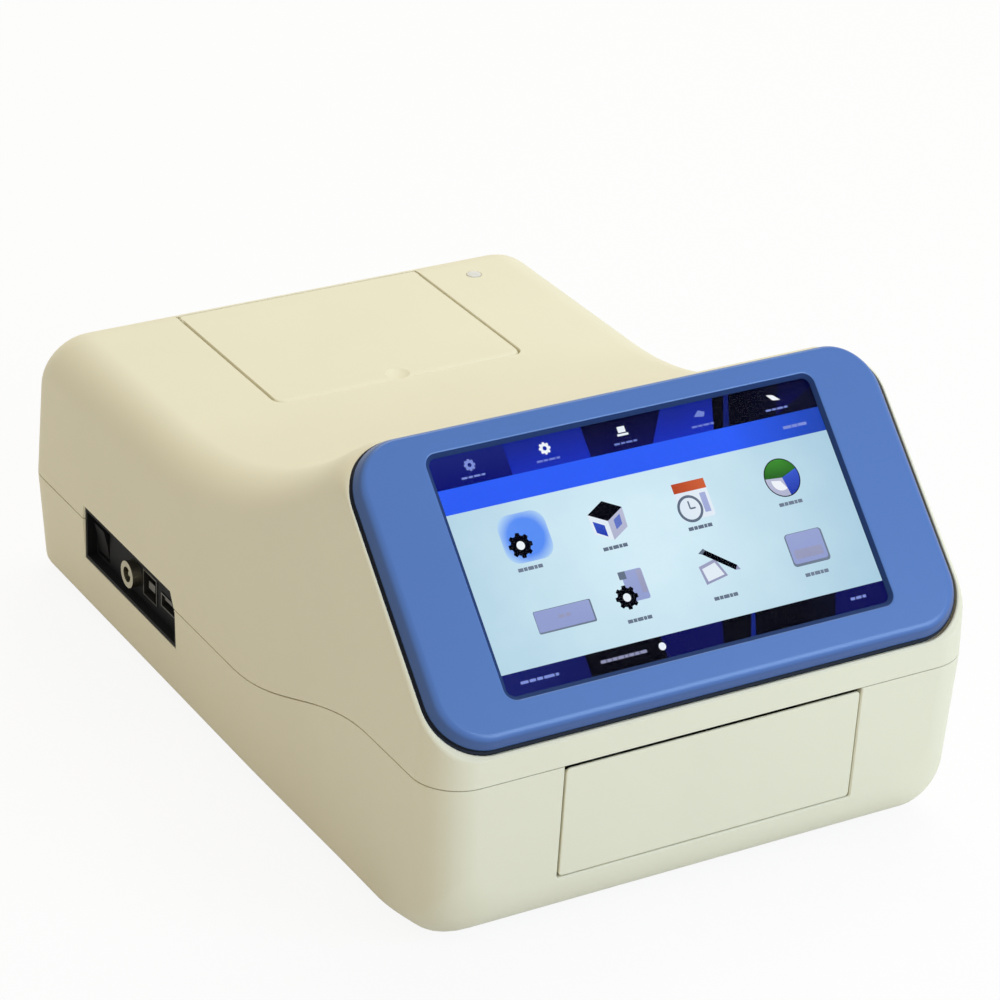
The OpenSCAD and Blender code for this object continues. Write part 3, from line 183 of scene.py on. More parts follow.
def rubbed(tree, patches, color, wear):
    pale, amount = wear
    new, link = tree.nodes.new, tree.links.new
    geo = new("ShaderNodeNewGeometry")
    softened = new("ShaderNodeBevel")
    softened.samples = 4
    softened.inputs["Radius"].default_value = WEAR_R
    meet = new("ShaderNodeVectorMath")
    meet.operation = "DOT_PRODUCT"
    link(softened.outputs["Normal"], meet.inputs[0])
    link(geo.outputs["Normal"], meet.inputs[1])
    edge = new("ShaderNodeMapRange")
    edge.inputs["From Min"].default_value = WEAR_FLAT
    edge.inputs["From Max"].default_value = WEAR_SHARP
    edge.inputs["To Max"].default_value = 2 * amount
    link(meet.outputs["Value"], edge.inputs["Value"])
    patchy = new("ShaderNodeMath")
    patchy.operation = "MULTIPLY"
    link(edge.outputs["Result"], patchy.inputs[0])
    link(patches.outputs["Fac"], patchy.inputs[1])
    rub = new("ShaderNodeMix")
    rub.data_type = "RGBA"
    rub.inputs["B"].default_value = pale
    link(patchy.outputs["Value"], rub.inputs["Factor"])
    link(color, rub.inputs["A"])
    return rub.outputs["Result"]


def surface(name, color, rough=0.5, metal=0.0, tone=0.05, drift=25.0, grain=1600.0, bump=0.05,
            wear=None, stretch=None, coat=0.0, transmission=0.0, rough_drift=0.06, ior=1.5, painted_shade=None):
    mat = bpy.data.materials.new(name)
    mat.use_nodes = True
    tree = mat.node_tree
    new, link = tree.nodes.new, tree.links.new
    bsdf = tree.nodes["Principled BSDF"]
    bsdf.inputs["Metallic"].default_value = metal
    bsdf.inputs["Coat Weight"].default_value = coat
    bsdf.inputs["Coat Roughness"].default_value = COAT_ROUGH
    bsdf.inputs["Transmission Weight"].default_value = transmission
    bsdf.inputs["IOR"].default_value = ior
    coord = new("ShaderNodeTexCoord")
    place = new("ShaderNodeMapping")
    place.inputs["Scale"].default_value = stretch or (1, 1, 1)
    link(coord.outputs["Object"], place.inputs["Vector"])
    slow = new("ShaderNodeTexNoise")
    slow.inputs["Scale"].default_value = drift
    slow.inputs["Detail"].default_value = 5
    link(coord.outputs["Object"], slow.inputs["Vector"])
    mix = new("ShaderNodeMix")
    mix.data_type = "RGBA"
    mix.inputs["A"].default_value = shade(color, 1 - tone)
    mix.inputs["B"].default_value = shade(color, 1 + tone)
    link(slow.outputs["Fac"], mix.inputs["Factor"])
    out = mix.outputs["Result"]
    if painted_shade:
        out = painted_bevel_shade(tree, coord, out, painted_shade)
    if wear:
        out = rubbed(tree, slow, out, wear)
    link(out, bsdf.inputs["Base Color"])
    fine = new("ShaderNodeTexNoise")
    fine.inputs["Scale"].default_value = grain
    fine.inputs["Detail"].default_value = 3
    link(place.outputs["Vector"], fine.inputs["Vector"])
    vary = new("ShaderNodeMapRange")
    vary.inputs["To Min"].default_value = max(0.02, rough - rough_drift)
    vary.inputs["To Max"].default_value = min(1, rough + rough_drift)
    link(fine.outputs["Fac"], vary.inputs["Value"])
    link(vary.outputs["Result"], bsdf.inputs["Roughness"])
    if bump:
        relief = new("ShaderNodeBump")
        relief.inputs["Strength"].default_value = bump
        relief.inputs["Distance"].default_value = GRAIN_DEPTH
        link(fine.outputs["Fac"], relief.inputs["Height"])
        link(relief.outputs["Normal"], bsdf.inputs["Normal"])
    return mat


cream = surface("cream_plastic", srgb(233, 227, 201), 0.5, tone=0.025, grain=2200, bump=0.10,
                wear=(srgb(246, 242, 226), 0.5))
inside = surface("cream_inside", srgb(214, 208, 182), 0.6, tone=0.05, grain=1500, bump=0.16)
# The bezel blue turns darker below its crease: painted shade on the bevel
blue = surface("bezel_blue", srgb(70, 111, 179), 0.3, tone=0.04, drift=18, grain=2600, bump=0.05,
               wear=(srgb(112, 150, 214), 0.5), painted_shade=(srgb(54, 88, 146), 1.2, 2.35))
# Painted shade: a darker blue on the lip round the glass, standing in for the shade there
lip_shade_blue = surface("bezel_lip", srgb(36, 58, 104), 0.7, tone=0.06, drift=18, grain=2600, bump=0.05, ior=1.2)
# Painted shadow: a near-black navy on the bezel's flange and skirt, standing in for the shadow in the gap
# round the bezel
gap_shade = surface("bezel_gap_painted_shadow", srgb(24, 31, 46), 0.8, tone=0.1, grain=1400, bump=0.2)
black = surface("black_plastic", srgb(19, 19, 20), 0.62, tone=0.12, grain=1800, bump=0.16,
                wear=(srgb(48, 48, 50), 0.5), ior=1.25)
steel = surface("zinc_sheet", srgb(184, 187, 190), 0.34, 1.0, tone=0.10, drift=60, grain=260, bump=0.04,
                stretch=(1, 14, 14))
milled = surface("milled_aluminium", srgb(186, 188, 192), 0.36, 1.0, tone=0.06, drift=80, grain=300,
                 bump=0.05, stretch=(12, 1, 12))
rod = surface("ground_rod", srgb(206, 208, 212), 0.16, 1.0, tone=0.04, grain=500, bump=0.02,
              stretch=(10, 1, 10))
nickel = surface("nickel_plate", srgb(206, 204, 198), 0.24, 1.0, tone=0.05, drift=120, grain=900, bump=0.03)
jack_metal = surface("brassy_nickel", srgb(176, 170, 146), 0.34, 1.0, tone=0.08, drift=120, grain=900,
                     bump=0.03)
port_metal = surface("dull_nickel", srgb(112, 110, 104), 0.4, 1.0, tone=0.08, drift=120, grain=900,
                     bump=0.04)
bronze = surface("sintered_bronze", srgb(164, 126, 72), 0.45, 1.0, tone=0.14, drift=400, grain=1600,
                 bump=0.12)
mask_green = surface("solder_mask", srgb(22, 84, 52), 0.32, tone=0.16, drift=160, grain=700, bump=0.10,
                     coat=0.3)
rubber = surface("foot_rubber", srgb(34, 34, 35), 0.8, tone=0.14, grain=900, bump=0.25)
belt = surface("belt_rubber", srgb(24, 24, 25), 0.72, tone=0.15, grain=320, bump=0.35, stretch=(1, 2, 1))
dark_metal = surface("black_anodised", srgb(34, 35, 38), 0.4, 0.7, tone=0.1, grain=1200, bump=0.06,
                     wear=(srgb(120, 120, 124), 0.4))
glass = surface("screen_glass", (0.96, 0.98, 1.0, 1), 0.06, tone=0.01, bump=0.0, transmission=1.0,
                rough_drift=0.02, ior=1.1)
optic = surface("coated_glass", srgb(206, 226, 240), 0.06, tone=0.05, bump=0.0, transmission=0.9,
                rough_drift=0.02)
filter_glass = surface("filter_glass", srgb(150, 96, 180), 0.08, tone=0.2, drift=60, bump=0.0,
                       transmission=0.6, rough_drift=0.02)
lens_tint = surface("lens_tint", srgb(220, 218, 212), 0.12, tone=0.08, drift=300, bump=0.0,
                    rough_drift=0.03, coat=0.5)

LOOKS = {
    "display_bracket": steel, "control_board": mask_green, "door_pin": rod, "hatch_pin": rod,
    "connector_panel": black, "rocker_switch": black, "power_jack": jack_metal, "usb_port": port_metal,
    "data_port": port_metal, "connector_board": mask_green, "chassis_plate": steel,
    "chassis_screws": nickel, "guide_rails": rod, "rail_supports": milled, "plate_carriage": black,
    "carriage_bushings": bronze, "plate_clip": steel, "belt_clamp": milled, "drive_motor": dark_metal,
    "motor_bracket": steel, "drive_pulley": milled, "idler_pulley": milled, "idler_bracket": steel,
    "drive_belt": belt, "home_sensor": black, "optics_bridge": milled, "bridge_lenses": optic,
    "detector_board": mask_green, "detector_cells": black, "optics_shelf": steel, "shelf_posts": rod,
    "lamp_house": milled, "halogen_lamp": optic, "condenser_lens": optic, "filter_wheel": dark_metal,
    "wheel_filters": filter_glass, "wheel_motor": steel, "wheel_bracket": steel, "light_guide": black,
    "fan_frame": black, "fan_rotor": black, "case_screws": nickel, "touch_glass": glass,
}
for name, look in LOOKS.items():
    slots = nodes[name].data.materials
    slots.clear()
    slots.append(look)


# Mesh helpers, all in millimetres in the solids' frame

def finish_mesh(bm, name, mats, angle=24, weighted=True):
    bmesh.ops.remove_doubles(bm, verts=bm.verts, dist=1e-4)
    bmesh.ops.recalc_face_normals(bm, faces=bm.faces)
    mesh = bpy.data.meshes.new(name)
    bmesh.ops.scale(bm, vec=(MM, MM, MM), verts=bm.verts)
    bm.to_mesh(mesh)
    bm.free()
    for m in mats:
        mesh.materials.append(m)
    obj = bpy.data.objects.new(name, mesh)
    scene.collection.objects.link(obj)
    smooth_edges(obj, angle, weighted)
    return obj


def smooth_edges(obj, angle=24, weighted=True):
    mesh = obj.data
    mesh.polygons.foreach_set("use_smooth", [True] * len(mesh.polygons))
    mesh.set_sharp_from_angle(angle=math.radians(angle))
    if weighted:
        mod = obj.modifiers.new("face_normals", "WEIGHTED_NORMAL")
        mod.keep_sharp = True
        mod.weight = 70


def loft(bm, rings, cap=True, close=False, place=None, mat=0):
    rows = []
    for ring in rings:
        pts = [Vector(p) for p in ring]
        rows.append([bm.verts.new(place @ p if place else p) for p in pts])
    n = len(rows[0])
    pairs = list(zip(rows, rows[1:])) + ([(rows[-1], rows[0])] if close else [])
    for a, b in pairs:
        for j in range(n):
            k = (j + 1) % n
            f = bm.faces.new((a[j], a[k], b[k], b[j]))
            f.material_index = mat
    if cap and not close:
        for row in (rows[0], rows[-1]):
            f = bm.faces.new(row)
            f.material_index = mat


def rounded(w, h, r, z, cx=0.0, cy=0.0, steps=8):
    r = max(r, 0.01)
    pts = []
    for c, (sx, sy) in enumerate(((1, 1), (-1, 1), (-1, -1), (1, -1))):
        for k in range(steps + 1):
            a = math.radians(90 * c + 90 * k / steps)
            x, y = sx * (w / 2 - r) + r * math.cos(a), sy * (h / 2 - r) + r * math.sin(a)
            pts.append((cx + x, cy + y, z))
    return pts


def circle(r, z, cx=0.0, cy=0.0, n=32):
    angles = [2 * math.pi * k / n for k in range(n)]
    return [(cx + r * math.cos(a), cy + r * math.sin(a), z) for a in angles]


def turned(bm, profile, place=None, n=32, mat=0, close=False):
    loft(bm, [circle(max(r, 0.01), z, n=n) for r, z in profile], not close, close, place, mat)


def tube(bm, hole, r, start, end, soft, place, n, mat=0):
    soft_r, soft_z = soft
    profile = [(hole, start), (r - soft_r, start), (r, start + soft_z), (r, end - soft_z),
               (r - soft_r, end), (hole, end)]
    turned(bm, profile, place, n, mat, True)


def rib(bm, w, l, y, root, tip, place=None):
    rings = [rounded(w - less, l - less, r, tip if far else root, 0, y, 5) for less, r, far in RIB]
    loft(bm, rings, close=True, place=place)


def along(axis, at):
    spin = {"x": Matrix.Rotation(math.radians(90), 4, "Y"),
            "y": Matrix.Rotation(math.radians(-90), 4, "X"),
            "z": Matrix.Identity(4)}[axis]
    return Matrix.Translation(at) @ spin


def block(bm, lo, hi, r=0.4, mat=0, place=None):
    w, h = hi[0] - lo[0], hi[1] - lo[1]
    cx, cy = (lo[0] + hi[0]) / 2, (lo[1] + hi[1]) / 2
    e = min(r, w / 3, h / 3, (hi[2] - lo[2]) / 3)
    steps = ((2 * e, 0.2, lo[2]), (0, e, lo[2] + e), (0, e, hi[2] - e), (2 * e, 0.2, hi[2]))
    rings = [rounded(w - less, h - less, turn, z, cx, cy, 2) for less, turn, z in steps]
    loft(bm, rings, place=place, mat=mat)


def cutter(rings, place=None):
    bm = bmesh.new()
    loft(bm, rings, place=place)
    bmesh.ops.recalc_face_normals(bm, faces=bm.faces)
    bmesh.ops.scale(bm, vec=(MM, MM, MM), verts=bm.verts)
    mesh = bpy.data.meshes.new("cutter")
    bm.to_mesh(mesh)
    bm.free()
    obj = bpy.data.objects.new("cutter", mesh)
    scene.collection.objects.link(obj)
    return obj


def cut(obj, cutters):
    for c in cutters:
        mod = obj.modifiers.new("cut", "BOOLEAN")
        mod.operation = "DIFFERENCE"
        mod.solver = "EXACT"
        mod.object = c
        bpy.context.view_layer.update()
        view = bpy.context.evaluated_depsgraph_get()
        mesh = bpy.data.meshes.new_from_object(obj.evaluated_get(view))
        obj.modifiers.remove(mod)
        obj.data = mesh
        bpy.data.objects.remove(c)
    return obj


def place_piece(obj, body, slot, *replaced):
    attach(obj, body)
    if replaced:
        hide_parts(*replaced)
    return obj


# Housings: the same sections as the solids, closely spaced

def lerp(a, b, t):
    return a + (b - a) * t


def clamp(v, lo, hi):
    return min(hi, max(lo, v))


def smooth(t):
    c = clamp(t, 0, 1)
    return c * c * (3 - 2 * c)


def arc_drop(r, d):
    d = max(d, 0)
    return 0 if d >= r else r - math.sqrt(max(0, r * r - (r - d) ** 2))


def tan(a):
    return math.tan(math.radians(a))


def part_z(y):
    return lerp(PART_REAR, PART_FRONT, smooth((FRONT + PART_LOW - y) / (PART_LOW - PART_HIGH)))


def half_w(y, t):
    return BODY_W / 2 - t - arc_drop(CORNER_R - t, y - FRONT - t) - arc_drop(CORNER_R - t, BACK - t - y)


def top_z(y, t):
    slope = LCD_Z + (y - LCD_Y) * SIN_T / COS_T - (SEAT_DROP + (SEAT_DEPTH + WALL if t else 0)) / COS_T
    ramp = DECK_Z - t + (CREST_Z - DECK_Z) * clamp((RAMP_Y - y) / (RAMP_Y - CREST_Y), 0, 2) ** 2
    return min(slope, ramp) - arc_drop(REAR_R - t, BACK - t - y)


def rim_r(y, t):
    w = half_w(y, 0) - (top_z(y, 0) - part_z(y)) * tan(SIDE_DRAFT)
    s = BEZEL_TOP - (y - LCD_Y - SEAT_DROP * SIN_T) / COS_T
    beside = clamp(w - BEZEL_W / 2 + arc_drop(BEZEL_R, s) - 0.6, 1.2, BEZEL_R + 1)
    behind = lerp(BEZEL_R, SHOULDER_R, clamp((y - CREST_Y) / 60, 0, 1))
    return max(0.8, (beside if y < CREST_Y else behind) - t)


def bottom_z(y, t):
    return FOOT_H + t + arc_drop(CHIN_R - t, y - FRONT - t) + arc_drop(HEEL_R - t, BACK - t - y)


def hem(y, t):
    return max(0.8, lerp(HEM_FRONT_R, HEM_R, smooth((y - FRONT) / 45)) - t)


def lean_y(y, z, upper):
    h = abs(z - part_z(y))
    at_front = 0 if upper else 1 - smooth((y - FRONT) / 60)
    at_back = 1 - smooth((BACK - y) / 70)
    return y + h * (tan(FRONT_LEAN) * at_front - tan(REAR_LEAN) * at_back)


def section(y, t, upper):
    sign = 1 if upper else -1
    zp = part_z(y) + sign * SEAM / 2
    end = top_z(y, t) if upper else bottom_z(y, t)
    span = abs(end - zp)
    r = min(rim_r(y, t) if upper else hem(y, t), span * 0.9)
    k = tan(SIDE_DRAFT if upper else BASE_DRAFT)
    w = half_w(y, t)
    xc = w - (span - r) * k - r
    if t:
        half = [(w, 0.0), (w, 0.1), (w, 0.2)]
    else:
        half = [(w - EDGE_LIP * (1 - math.sin(a)), EDGE_LIP * (1 - math.cos(a)))
                for a in (0, math.pi / 4, math.pi / 2)]
    start = half[-1]
    half += [(lerp(start[0], xc + r, f), lerp(start[1], span - r, f)) for f in (0.33, 0.67, 1)]
    half += [(xc + r * math.cos(a), span - r + r * math.sin(a)) for a in
             (math.radians(ARC_STEP * q) for q in range(1, ARC_N + 1))]
    pts = [(-x, zp + sign * d) for x, d in half] + [(x, zp + sign * d) for x, d in half[::-1]]
    return [(x, lean_y(y, z, upper), z) for x, z in pts]


def stations():
    turn = [TURN_R * (1 - math.cos(math.radians(ARC_STEP * k))) for k in range(ARC_N)]
    corner = CREST_Y - (BEZEL_R + CREST_OVER) * COS_T
    ys = [FRONT + d for d in turn]
    ys += [lerp(FRONT + TURN_R, corner, k / 12) for k in range(12)]
    ys += [lerp(corner, CREST_Y, k / 12) for k in range(12)]
    ys += [CREST_Y + CREST_STEP * k for k in range(12)]
    ys += [lerp(CREST_Y + 12 * CREST_STEP, RAMP_Y, k / 30) for k in range(30)]
    rear = max(TURN_R, REAR_R)
    ys += [lerp(RAMP_Y, BACK - rear, k / 12) for k in range(12)]
    ys += [BACK - rear * (1 - math.cos(math.radians(90 - ARC_STEP * k))) for k in range(ARC_N + 1)]
    return ys


def soften_crest(rows, ys):
    near = [i for i in range(1, len(ys) - 1) if abs(ys[i] - CREST_Y) < CREST_BLEND]
    for _ in range(CREST_PASSES):
        old = [list(row) for row in rows]
        for i in near:
            share = (ys[i] - ys[i - 1]) / (ys[i + 1] - ys[i - 1])
            fall = 1 - smooth(abs(ys[i] - CREST_Y) / CREST_BLEND)
            for j, p in enumerate(old[i]):
                k = CREST_PULL * fall * smooth((abs(p[0]) - SHOULDER_X) / SHOULDER_BAND)
                before, after = old[i - 1][j], old[i + 1][j]
                x, z = (lerp(p[c], lerp(before[c], after[c], share), k) for c in (0, 2))
                rows[i][j] = (x, p[1], z)


def shell(name, upper):
    bm = bmesh.new()
    ys = stations()
    grids = []
    for t in (0, WALL):
        rows = [section(lerp(FRONT + t, BACK - t, (y - FRONT) / BODY_D), t, upper) for y in ys]
        if upper:
            soften_crest(rows, ys)
        grids.append([[bm.verts.new(p) for p in row] for row in rows])
    n = len(grids[0][0])
    for rows, mat in ((grids[0], 0), (grids[1], 1)):
        for a, b in zip(rows, rows[1:]):
            for j in range(n - 1):
                bm.faces.new((a[j], a[j + 1], b[j + 1], b[j])).material_index = mat
        for row in (rows[0], rows[-1]):
            bm.faces.new(row).material_index = mat
    outer, inner = grids
    for i in range(len(ys) - 1):
        for j in (0, n - 1):
            bm.faces.new((outer[i][j], outer[i + 1][j], inner[i + 1][j], inner[i][j]))
    for i in (0, -1):
        bm.faces.new((outer[i][0], outer[i][-1], inner[i][-1], inner[i][0]))
    return finish_mesh(bm, name, [cream, inside], weighted=False)


def recess_ring(x, grow):
    y0, y1 = FRONT + RECESS_SET - grow, FRONT + RECESS_SET + RECESS_L + grow
    z0, z1 = RECESS_Z - grow, RECESS_Z + RECESS_H + grow
    return [(x, y0, z0), (x, y1, z0), (x, y1, z1), (x, y0 + RECESS_CUT_Y, z1), (x, y0, z1 - RECESS_CUT_Z)]


def recess_cutter():
    steps = ((-100.5, 0), (-109.2, 0), (-109.9, 0.5), (-116, 0.5))
    return cutter([recess_ring(x, grow) for x, grow in steps])


def join(main, extra):
    bpy.ops.object.select_all(action="DESELECT")
    main.select_set(True)
    extra.select_set(True)
    bpy.context.view_layer.objects.active = main
    bpy.ops.object.join()
    return main


def hatch_ring(w, l, r, z, y_shift=0.0):
    return rounded(w, l, r, z, 0, (HATCH_Y0 + HATCH_Y1) / 2 + y_shift, 6)


def thumb_dent():
    ball = (DENT_R ** 2 + DENT_DEPTH ** 2) / (2 * DENT_DEPTH)
    reach = math.asin(DENT_R / ball) * 1.1
    low, y = DECK_Z - DENT_DEPTH, HATCH_Y0 + DENT_SET
    angles = [max(0.01, reach * k / ARC_N) for k in range(ARC_N + 1)]
    return cutter([circle(ball * math.sin(a), low + ball * (1 - math.cos(a)), 0, y, 48) for a in angles])


def bezel_seat_cutters():
    def ring(grow, z):
        return rounded(BEZEL_W + grow, BEZEL_H + grow, BEZEL_R + BEZEL_GAP, z, 0, -BEZEL_DROP, 16)

    room = 2 * BEZEL_GAP
    wide = room + 2 * SEAT_CHAMFER
    seat = cutter([ring(room, SEAT_LOW), ring(room, -SEAT_DROP - SEAT_CHAMFER), ring(wide, -SEAT_DROP),
                   ring(wide, SLOPE_ABOVE)], SLOPE)
    window = cutter([rounded(LCD_W + WINDOW_SIDE, LCD_H + WINDOW_END, 2, z) for z in (-SLOPE_BELOW, 0)],
                    SLOPE)
    return [seat, window]


def hatch_cutters():
    room, closer, above = 2 * HATCH_GAP, HATCH_GAP - LID_FRONT_GAP, DECK_Z + CUT_ABOVE
    steps = ((0, DECK_Z - HATCH_T - 0.05), (0, DECK_Z - 0.3), (0.5, DECK_Z), (0.5, above))
    pocket = cutter([hatch_ring(HATCH_W + room + e, HATCH_L + room - closer, 5 + e / 2, z, closer / 2)
                     for e, z in steps])
    bay = cutter([hatch_ring(HATCH_W - 2 * LEDGE_W, HATCH_L - SILL_W + room, 4, z, SILL_W / 2)
                  for z in (DECK_Z - CUT_BELOW, above)])
    y0, y1 = HINGE_Y - BARREL_R - HATCH_GAP, HATCH_Y1 + HATCH_GAP + SWING_ROOM
    steps = ((0, DECK_Z - CUT_BELOW), (0, DECK_Z - REAR_EDGE), (REAR_EDGE, DECK_Z), (REAR_EDGE, above))
    hinge = cutter([rounded(HATCH_W + room, y1 + e - y0, 0.3, z, 0, (y0 + y1 + e) / 2, 2)
                    for e, z in steps])
    return [pocket, bay, hinge]


def grille_cutters():
    for k in range(GRILLE_N):
        x = GRILLE_X + (k - (GRILLE_N - 1) / 2) * GRILLE_PITCH
        place = along("y", (x, BACK - SLOT_REACH, GRILLE_Z))
        ends = (0, SLOT_REACH + CUT_PAST)
        yield cutter([rounded(SLOT_W, SLOT_H, SLOT_R, z, steps=3) for z in ends], place)


def build_upper():
    obj = shell("upper_housing", True)
    lens_steps = ((0, DECK_Z - 8), (0, DECK_Z - SOFT), (SOFT, DECK_Z), (SOFT, DECK_Z + 4))
    lens_hole = cutter([circle(LENS_HOLE_R + e, z, LENS_X, LENS_Y) for e, z in lens_steps])
    cut(obj, [*bezel_seat_cutters(), *hatch_cutters(), recess_cutter(), lens_hole, *grille_cutters()])
    bm = bmesh.new()
    for x, y in POSTS:
        z = part_z(y) + SEAM / 2
        tube(bm, POST_HOLE_R, POST_R, z, z + POST_H, (0.3, SOFT), along("z", (x, y, 0)), 28, 1)
        s = math.copysign(1, x)
        lo, hi = sorted((x + s * WEB_IN, x + s * WEB_OUT))
        block(bm, (lo, y - WEB_T / 2, z + 1), (hi, y + WEB_T / 2, z + POST_H), 0.3, 1)
    deck_in = DECK_Z - WALL
    out, inn, rear = HATCH_W / 2 + LEDGE_OUT, HATCH_W / 2 - LEDGE_W, HINGE_Y - LEDGE_REAR
    for x0, x1, y1 in ((-out, -inn, rear), (inn, out, rear),
                       (-inn - 2, inn + 2, HATCH_Y0 + SILL_W - HATCH_GAP)):
        block(bm, (x0, HATCH_Y0 - LEDGE_OUT, deck_in - LEDGE_T), (x1, y1, deck_in + 0.05), 0.3, 1)
    for s in (-1, 1):
        near = HATCH_W / 2 + HATCH_GAP
        x0, x1 = sorted((s * near, s * (near + EAR_T)))
        block(bm, (x0, HINGE_Y - 4, HINGE_Z - 4.4), (x1, HINGE_Y + 4, deck_in + 1), 0.4, 1)
    join(obj, finish_mesh(bm, "upper_bosses", [cream, inside], weighted=False))
    smooth_edges(obj)
    return place_piece(obj, "housing", "cream_shell", "upper_shell")


def build_base():
    obj = shell("base_housing", False)
    low, high = -(DOOR_TOP + DOOR_H + DOOR_GAP), 60
    w, mid, tall = DOOR_W + 2 * DOOR_GAP, (low + high) / 2, high - low
    steps = ((0, 0.8, -4.4), (0, 0.8, -0.5), (0.9, 1.2, 0), (0.9, 1.2, 6))
    cuts = [cutter([rounded(w + e, tall + e, r, z, 0, mid, 3) for e, r, z in steps], DOOR_FACE),
            recess_cutter()]
    steps = ((SOFT, -1), (SOFT, FOOT_H), (0, FOOT_H + SOFT), (0, 12))
    cuts += [cutter([circle(SCREW_R + e, z, x, y) for e, z in steps]) for x, y in POSTS]
    cut(obj, cuts)
    bm = bmesh.new()
    for x, y in POSTS:
        top = part_z(y) - SEAM / 2
        seat = top - HEAD_SEAT
        profile = [(SCREW_R, 4.2), (POST_R, 4.2), (POST_R, top - SOFT), (POST_R - SOFT, top),
                   (POST_HOLE_R, top), (POST_HOLE_R, seat), (SCREW_R, seat)]
        turned(bm, profile, along("z", (x, y, 0)), 28, 1, True)
    for s in (-1, 1):
        (y0, y1), (z0, z1) = RAIL_SEAT_Y, RAIL_SEAT_Z
        x0, x1 = s * RAIL_X - RAIL_SEAT_W / 2, s * RAIL_X + RAIL_SEAT_W / 2
        block(bm, (x0, FRONT + y0, z0), (x1, FRONT + y1, z1), 0.6, 1)
        (y0, y1), (z0, z1) = DOOR_EAR_Y, DOOR_EAR_Z
        x0, x1 = sorted(s * x for x in DOOR_EAR_X)
        block(bm, (x0, y0, z0), (x1, y1, z1), 0.5, 1, FACE)
    for x, y in STUDS:
        profile = [(STUD_R, STUD_LOW), (STUD_R, STUD_TOP - 0.2), (STUD_R - 0.2, STUD_TOP)]
        turned(bm, profile, along("z", (x, y, 0)), 24, 1)
    join(obj, finish_mesh(bm, "base_bosses", [cream, inside], weighted=False))
    smooth_edges(obj)
    return place_piece(obj, "housing", "cream_shell", "base_shell")


build_upper()
build_base()


# Bezel: a flat face, a soft crease and a steep bevel, with a shallow lip round the glass; the lip and a
# flange in the gap carry painted shade

def build_bezel():
    edge = -SEAT_DROP + 0.4
    crease_low = BEZEL_RISE - CREASE_R * (1 - math.cos(BEVEL_TILT))
    bevel_w = CREASE_R * math.sin(BEVEL_TILT) + (crease_low - edge) / math.tan(BEVEL_TILT)

    def outer(e, z):
        tall = BEZEL_H - (1 + TOP_BEVEL) * e
        middle = BEZEL_LIFT - BEZEL_DROP + (1 - TOP_BEVEL) * e / 2
        return rounded(BEZEL_W - 2 * BEZEL_TRIM - 2 * e, tall, BEZEL_R - e, z, 0, middle, 20)

    def inner(grow, z):
        return rounded(LCD_W + 2 * grow, LCD_H + 2 * grow, LCD_R + min(grow, LIP_W), z, steps=20)

    # The flange reaches into the gap so that the gap shows the painted shadow
    rings = [outer(-BEZEL_SHADE_FLANGE, SEAT_LOW), outer(-BEZEL_SHADE_FLANGE, edge - 1.8), outer(0, edge - 1.7)]
    gap_shade_end = len(rings)
    rings += [outer(0, edge - 0.25), outer(0.04, edge - 0.03), outer(0.18, edge + 0.25)]
    for k in range(ARC_N + 1):
        a = BEVEL_TILT * (1 - k / ARC_N)
        rings.append(outer(bevel_w - CREASE_R * math.sin(a), BEZEL_RISE - CREASE_R * (1 - math.cos(a))))
    rings += [inner(LIP_W + grow, BEZEL_RISE - down) for grow, down in
              ((0.3, 0), (0.1, 0.02), (-0.08, 0.08), (-0.25, 0.16))]
    lip_start = len(rings) - 1
    rings += [inner(grow, GLASS_T + up) for grow, up in ((0.15, 0.48), (0, 0.3), (0, 0.1))]
    lip_end = len(rings) - 1
    rings += [rounded(LCD_W + 11.6, LCD_H + 8.6, 2, z, steps=20) for z in (GLASS_T + 0.1, SEAT_LOW)]
    bm = bmesh.new()
    loft(bm, rings, close=True, place=SLOPE)
    bm.faces.ensure_lookup_table()
    n = len(rings[0])
    # The lip's faces take the darker blue of painted shade
    for face in bm.faces[n * lip_start:n * lip_end]:
        face.material_index = 1
    # The flange and skirt faces take the near-black of the painted shadow in the gap
    for face in bm.faces[:n * gap_shade_end]:
        face.material_index = 2
    obj = finish_mesh(bm, "blue_bezel", [blue, lip_shade_blue, gap_shade])
    return place_piece(obj, "housing", "blue_bezel", "screen_bezel")


build_bezel()


# Display: dark frame and a lit picture of plain shapes without lettering

SCREEN_DARK, SCREEN_GLOW = (0.001, 0.001, 0.0015, 1), 0.95
CLOUD_SCALE, CLOUD_SPREAD = 60, 0.2
PICTURE_Z, LAYER_Z = -0.16, 0.02
GLOW_AT = (-50.4, 9.8)
CAPTION = ((2.0, 1.4, 2.2, 1.2, 1.8), 1.3, "label", 5, 0.25)


